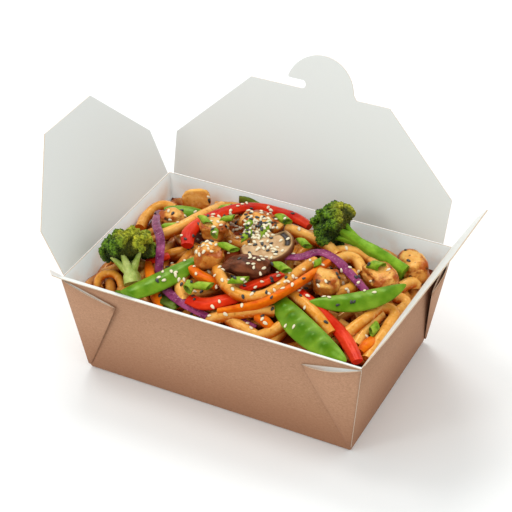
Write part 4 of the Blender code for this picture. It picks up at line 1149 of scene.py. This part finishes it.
def onion_cut(name, place, length, width, heading, roll, material):
    """One cut: a flattened tube with a thin wall and slanting ends."""
    around, rings = 28, 9
    shape = bmesh.new()
    loops = []
    for wall in (1.0, 1 - ONION_WALL):
        for ring in range(rings):
            along = -1 + 2 * ring / (rings - 1)
            loop = []
            for step in range(around):
                angle = 2 * math.pi * step / around
                across, up = math.cos(angle) * wall, math.sin(angle) * wall
                slant = across * (0.2 if along > 0 else 0.28) * abs(along)
                loop.append(shape.verts.new(Vector(((along * 0.42 + slant) * length, across * width / 2,
                                                    up * width * 0.38)) * MM))
            loops.append(loop)
    outer, inner = loops[:rings], loops[rings:]
    for rows in (outer, inner, [outer[0], inner[0]], [outer[-1], inner[-1]]):
        bridged(shape, rows)
    where = frame_at(place, heading, 0, roll) @ Matrix.Scale(ONION_SCALE, 4)
    return placed(shape, name, where, material, smooth=50)


onion_skin = plant_finish("onion_top", "#A0B83A", "#5C8410", 0.3, 260)
for index, (place, length, width, heading) in enumerate(ONION_CUTS, 1):
    node = f"spring_onion_{index:02d}"
    cut = onion_cut(node + "_cut", place, length, width, heading, index * 7 % 20, onion_skin)
    on_box(cut, "spring_onion", node)

leaf = plant_finish("cooked_leaf", "#5E6E1E", "#2C3A0C", 0.3, 130)
scrap = chunk((-26, -54, 3), (15, 8, 4), -15, 0, 0, 0.2, 12, "leaf_front_scrap", leaf)
on_box(scrap, "broccoli", "leaf_front")


# ======== sesame
# White and black sesame, 2.7 mm by 1.6 mm by 0.9 mm, thrown over the middle at serving. A patch
# has a middle, a spread and a number of throws.

SEED_SIZE = (2.7 * MM, 1.6 * MM, 0.9 * MM)
SEED_PATCHES = [
    (-16, 27, 14, 160), (-34, 4, 12, 36), (-4, -4, 12, 18), (0, 12, 8, 34), (22, -12, 18, 34),
    (-26, 40, 18, 34), (50, 0, 22, 34), (-30, -30, 18, 26), (20, -42, 26, 24), (66, 30, 16, 8),
    (-56, 22, 12, 14), (0, -20, 14, 26),
]
SPREAD_SHARE, BLACK_SHARE, STEEPEST = 0.62, 0.28, 0.35
SEED_SINK, SEED_GAP = 0.15 * MM, 1.4 * MM


def seed_shape(name, material):
    """One seed: an egg drawn to a blunt point."""
    shape = ball(2)
    for vert in shape.verts:
        narrow = 1 - 0.28 * vert.co.x
        vert.co = Vector((vert.co.x * SEED_SIZE[0] / 2, vert.co.y * narrow * SEED_SIZE[1] / 2,
                          vert.co.z * narrow * SEED_SIZE[2] / 2))
    return piece_of(shape, name, [material], 80)


def scatter_tree():
    """Puts a seed at every point, lying on the surface and turned and sized at random."""
    tree, given = node_group("scattered_seeds", Seed_Shape="Object", Seed="Int")
    one = put(tree, "GeometryNodeObjectInfo", {"Object": given["Seed Shape"]})
    lean = put(tree, "GeometryNodeInputNamedAttribute", {"Name": "lean"}, data_type="FLOAT_VECTOR")
    upright = put(tree, "FunctionNodeAlignRotationToVector", {"Vector": lean}, axis="Z")
    spin = chance(given, 0.0, 6.283)
    about = put(tree, "FunctionNodeAxisAngleToRotation", {"Axis": (0, 0, 1), "Angle": spin})
    turned = put(tree, "FunctionNodeRotateRotation", {0: upright, 1: about}, rotation_space="LOCAL")
    points = put(tree, "GeometryNodeMeshToPoints", {0: given["Geometry"]})
    seeds = put(tree, "GeometryNodeInstanceOnPoints",
                {"Points": points, "Instance": one.outputs["Geometry"], "Rotation": turned,
                 "Scale": chance(given, 0.85, 1.1)})
    return ended_group(tree, given, seeds)


def fallen_seeds():
    """Where each seed landed, the way the surface leans there and whether it is black."""
    rng = random.Random(7)
    meshes = [piece.data for piece in food]
    trees = [bvhtree.BVHTree.FromPolygons([vert.co for vert in mesh.vertices],
                                          [face.vertices for face in mesh.polygons]) for mesh in meshes]
    spots = []
    for x, y, spread, count in SEED_PATCHES:
        for _ in range(count):
            aim = Vector((rng.gauss(x, spread * SPREAD_SHARE), rng.gauss(y, spread * SPREAD_SHARE), 0)) * MM
            start = aim + SIGHT * BOX_HEIGHT * 2
            start.z += BOX_HEIGHT
            hits = [tree.ray_cast(start, -SIGHT.normalized()) for tree in trees]
            hits = [hit for hit in hits if hit[0] is not None]
            if not hits:
                continue
            point, normal, _, _ = min(hits, key=lambda hit: hit[3])
            if normal.z < STEEPEST or any((point - other[0]).length < SEED_GAP for other in spots):
                continue
            seat = point + normal * (SEED_SIZE[2] / 2 - SEED_SINK)
            spots.append((seat, normal, rng.random() < BLACK_SHARE))
    return spots


scatter = scatter_tree()
landed = fallen_seeds()
for name, black, colours, roughness in (
    ("sesame_white", False, ("#DFCDA4", "#F6EBCC"), 0.4),
    ("sesame_black", True, ("#15130F", "#2B2823"), 0.3),
):
    coat, place = finish(name + "_hull", roughness, Coat_Weight=0.2)
    dressed(coat, mixed(speckle(place, 500, 2), *colours))
    mine = [(point, normal) for point, normal, is_black in landed if is_black == black]
    mesh = bpy.data.meshes.new("spots")
    mesh.from_pydata([point for point, _ in mine], [], [])
    lean = mesh.attributes.new("lean", "FLOAT_VECTOR", "POINT")
    lean.data.foreach_set("vector", [value for _, normal in mine for value in normal])
    one_seed = seed_shape("one_seed", coat)
    seeds = grown(shown("spots", mesh), name, scatter, coat, seed_shape=one_seed, seed=3)
    bpy.data.objects.remove(one_seed)
    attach(seeds, "box")


# ======== the end
# The sections that the strands were swept from go.

for obj in list(bpy.data.objects):
    if obj.name.startswith("profile"):
        bpy.data.objects.remove(obj)
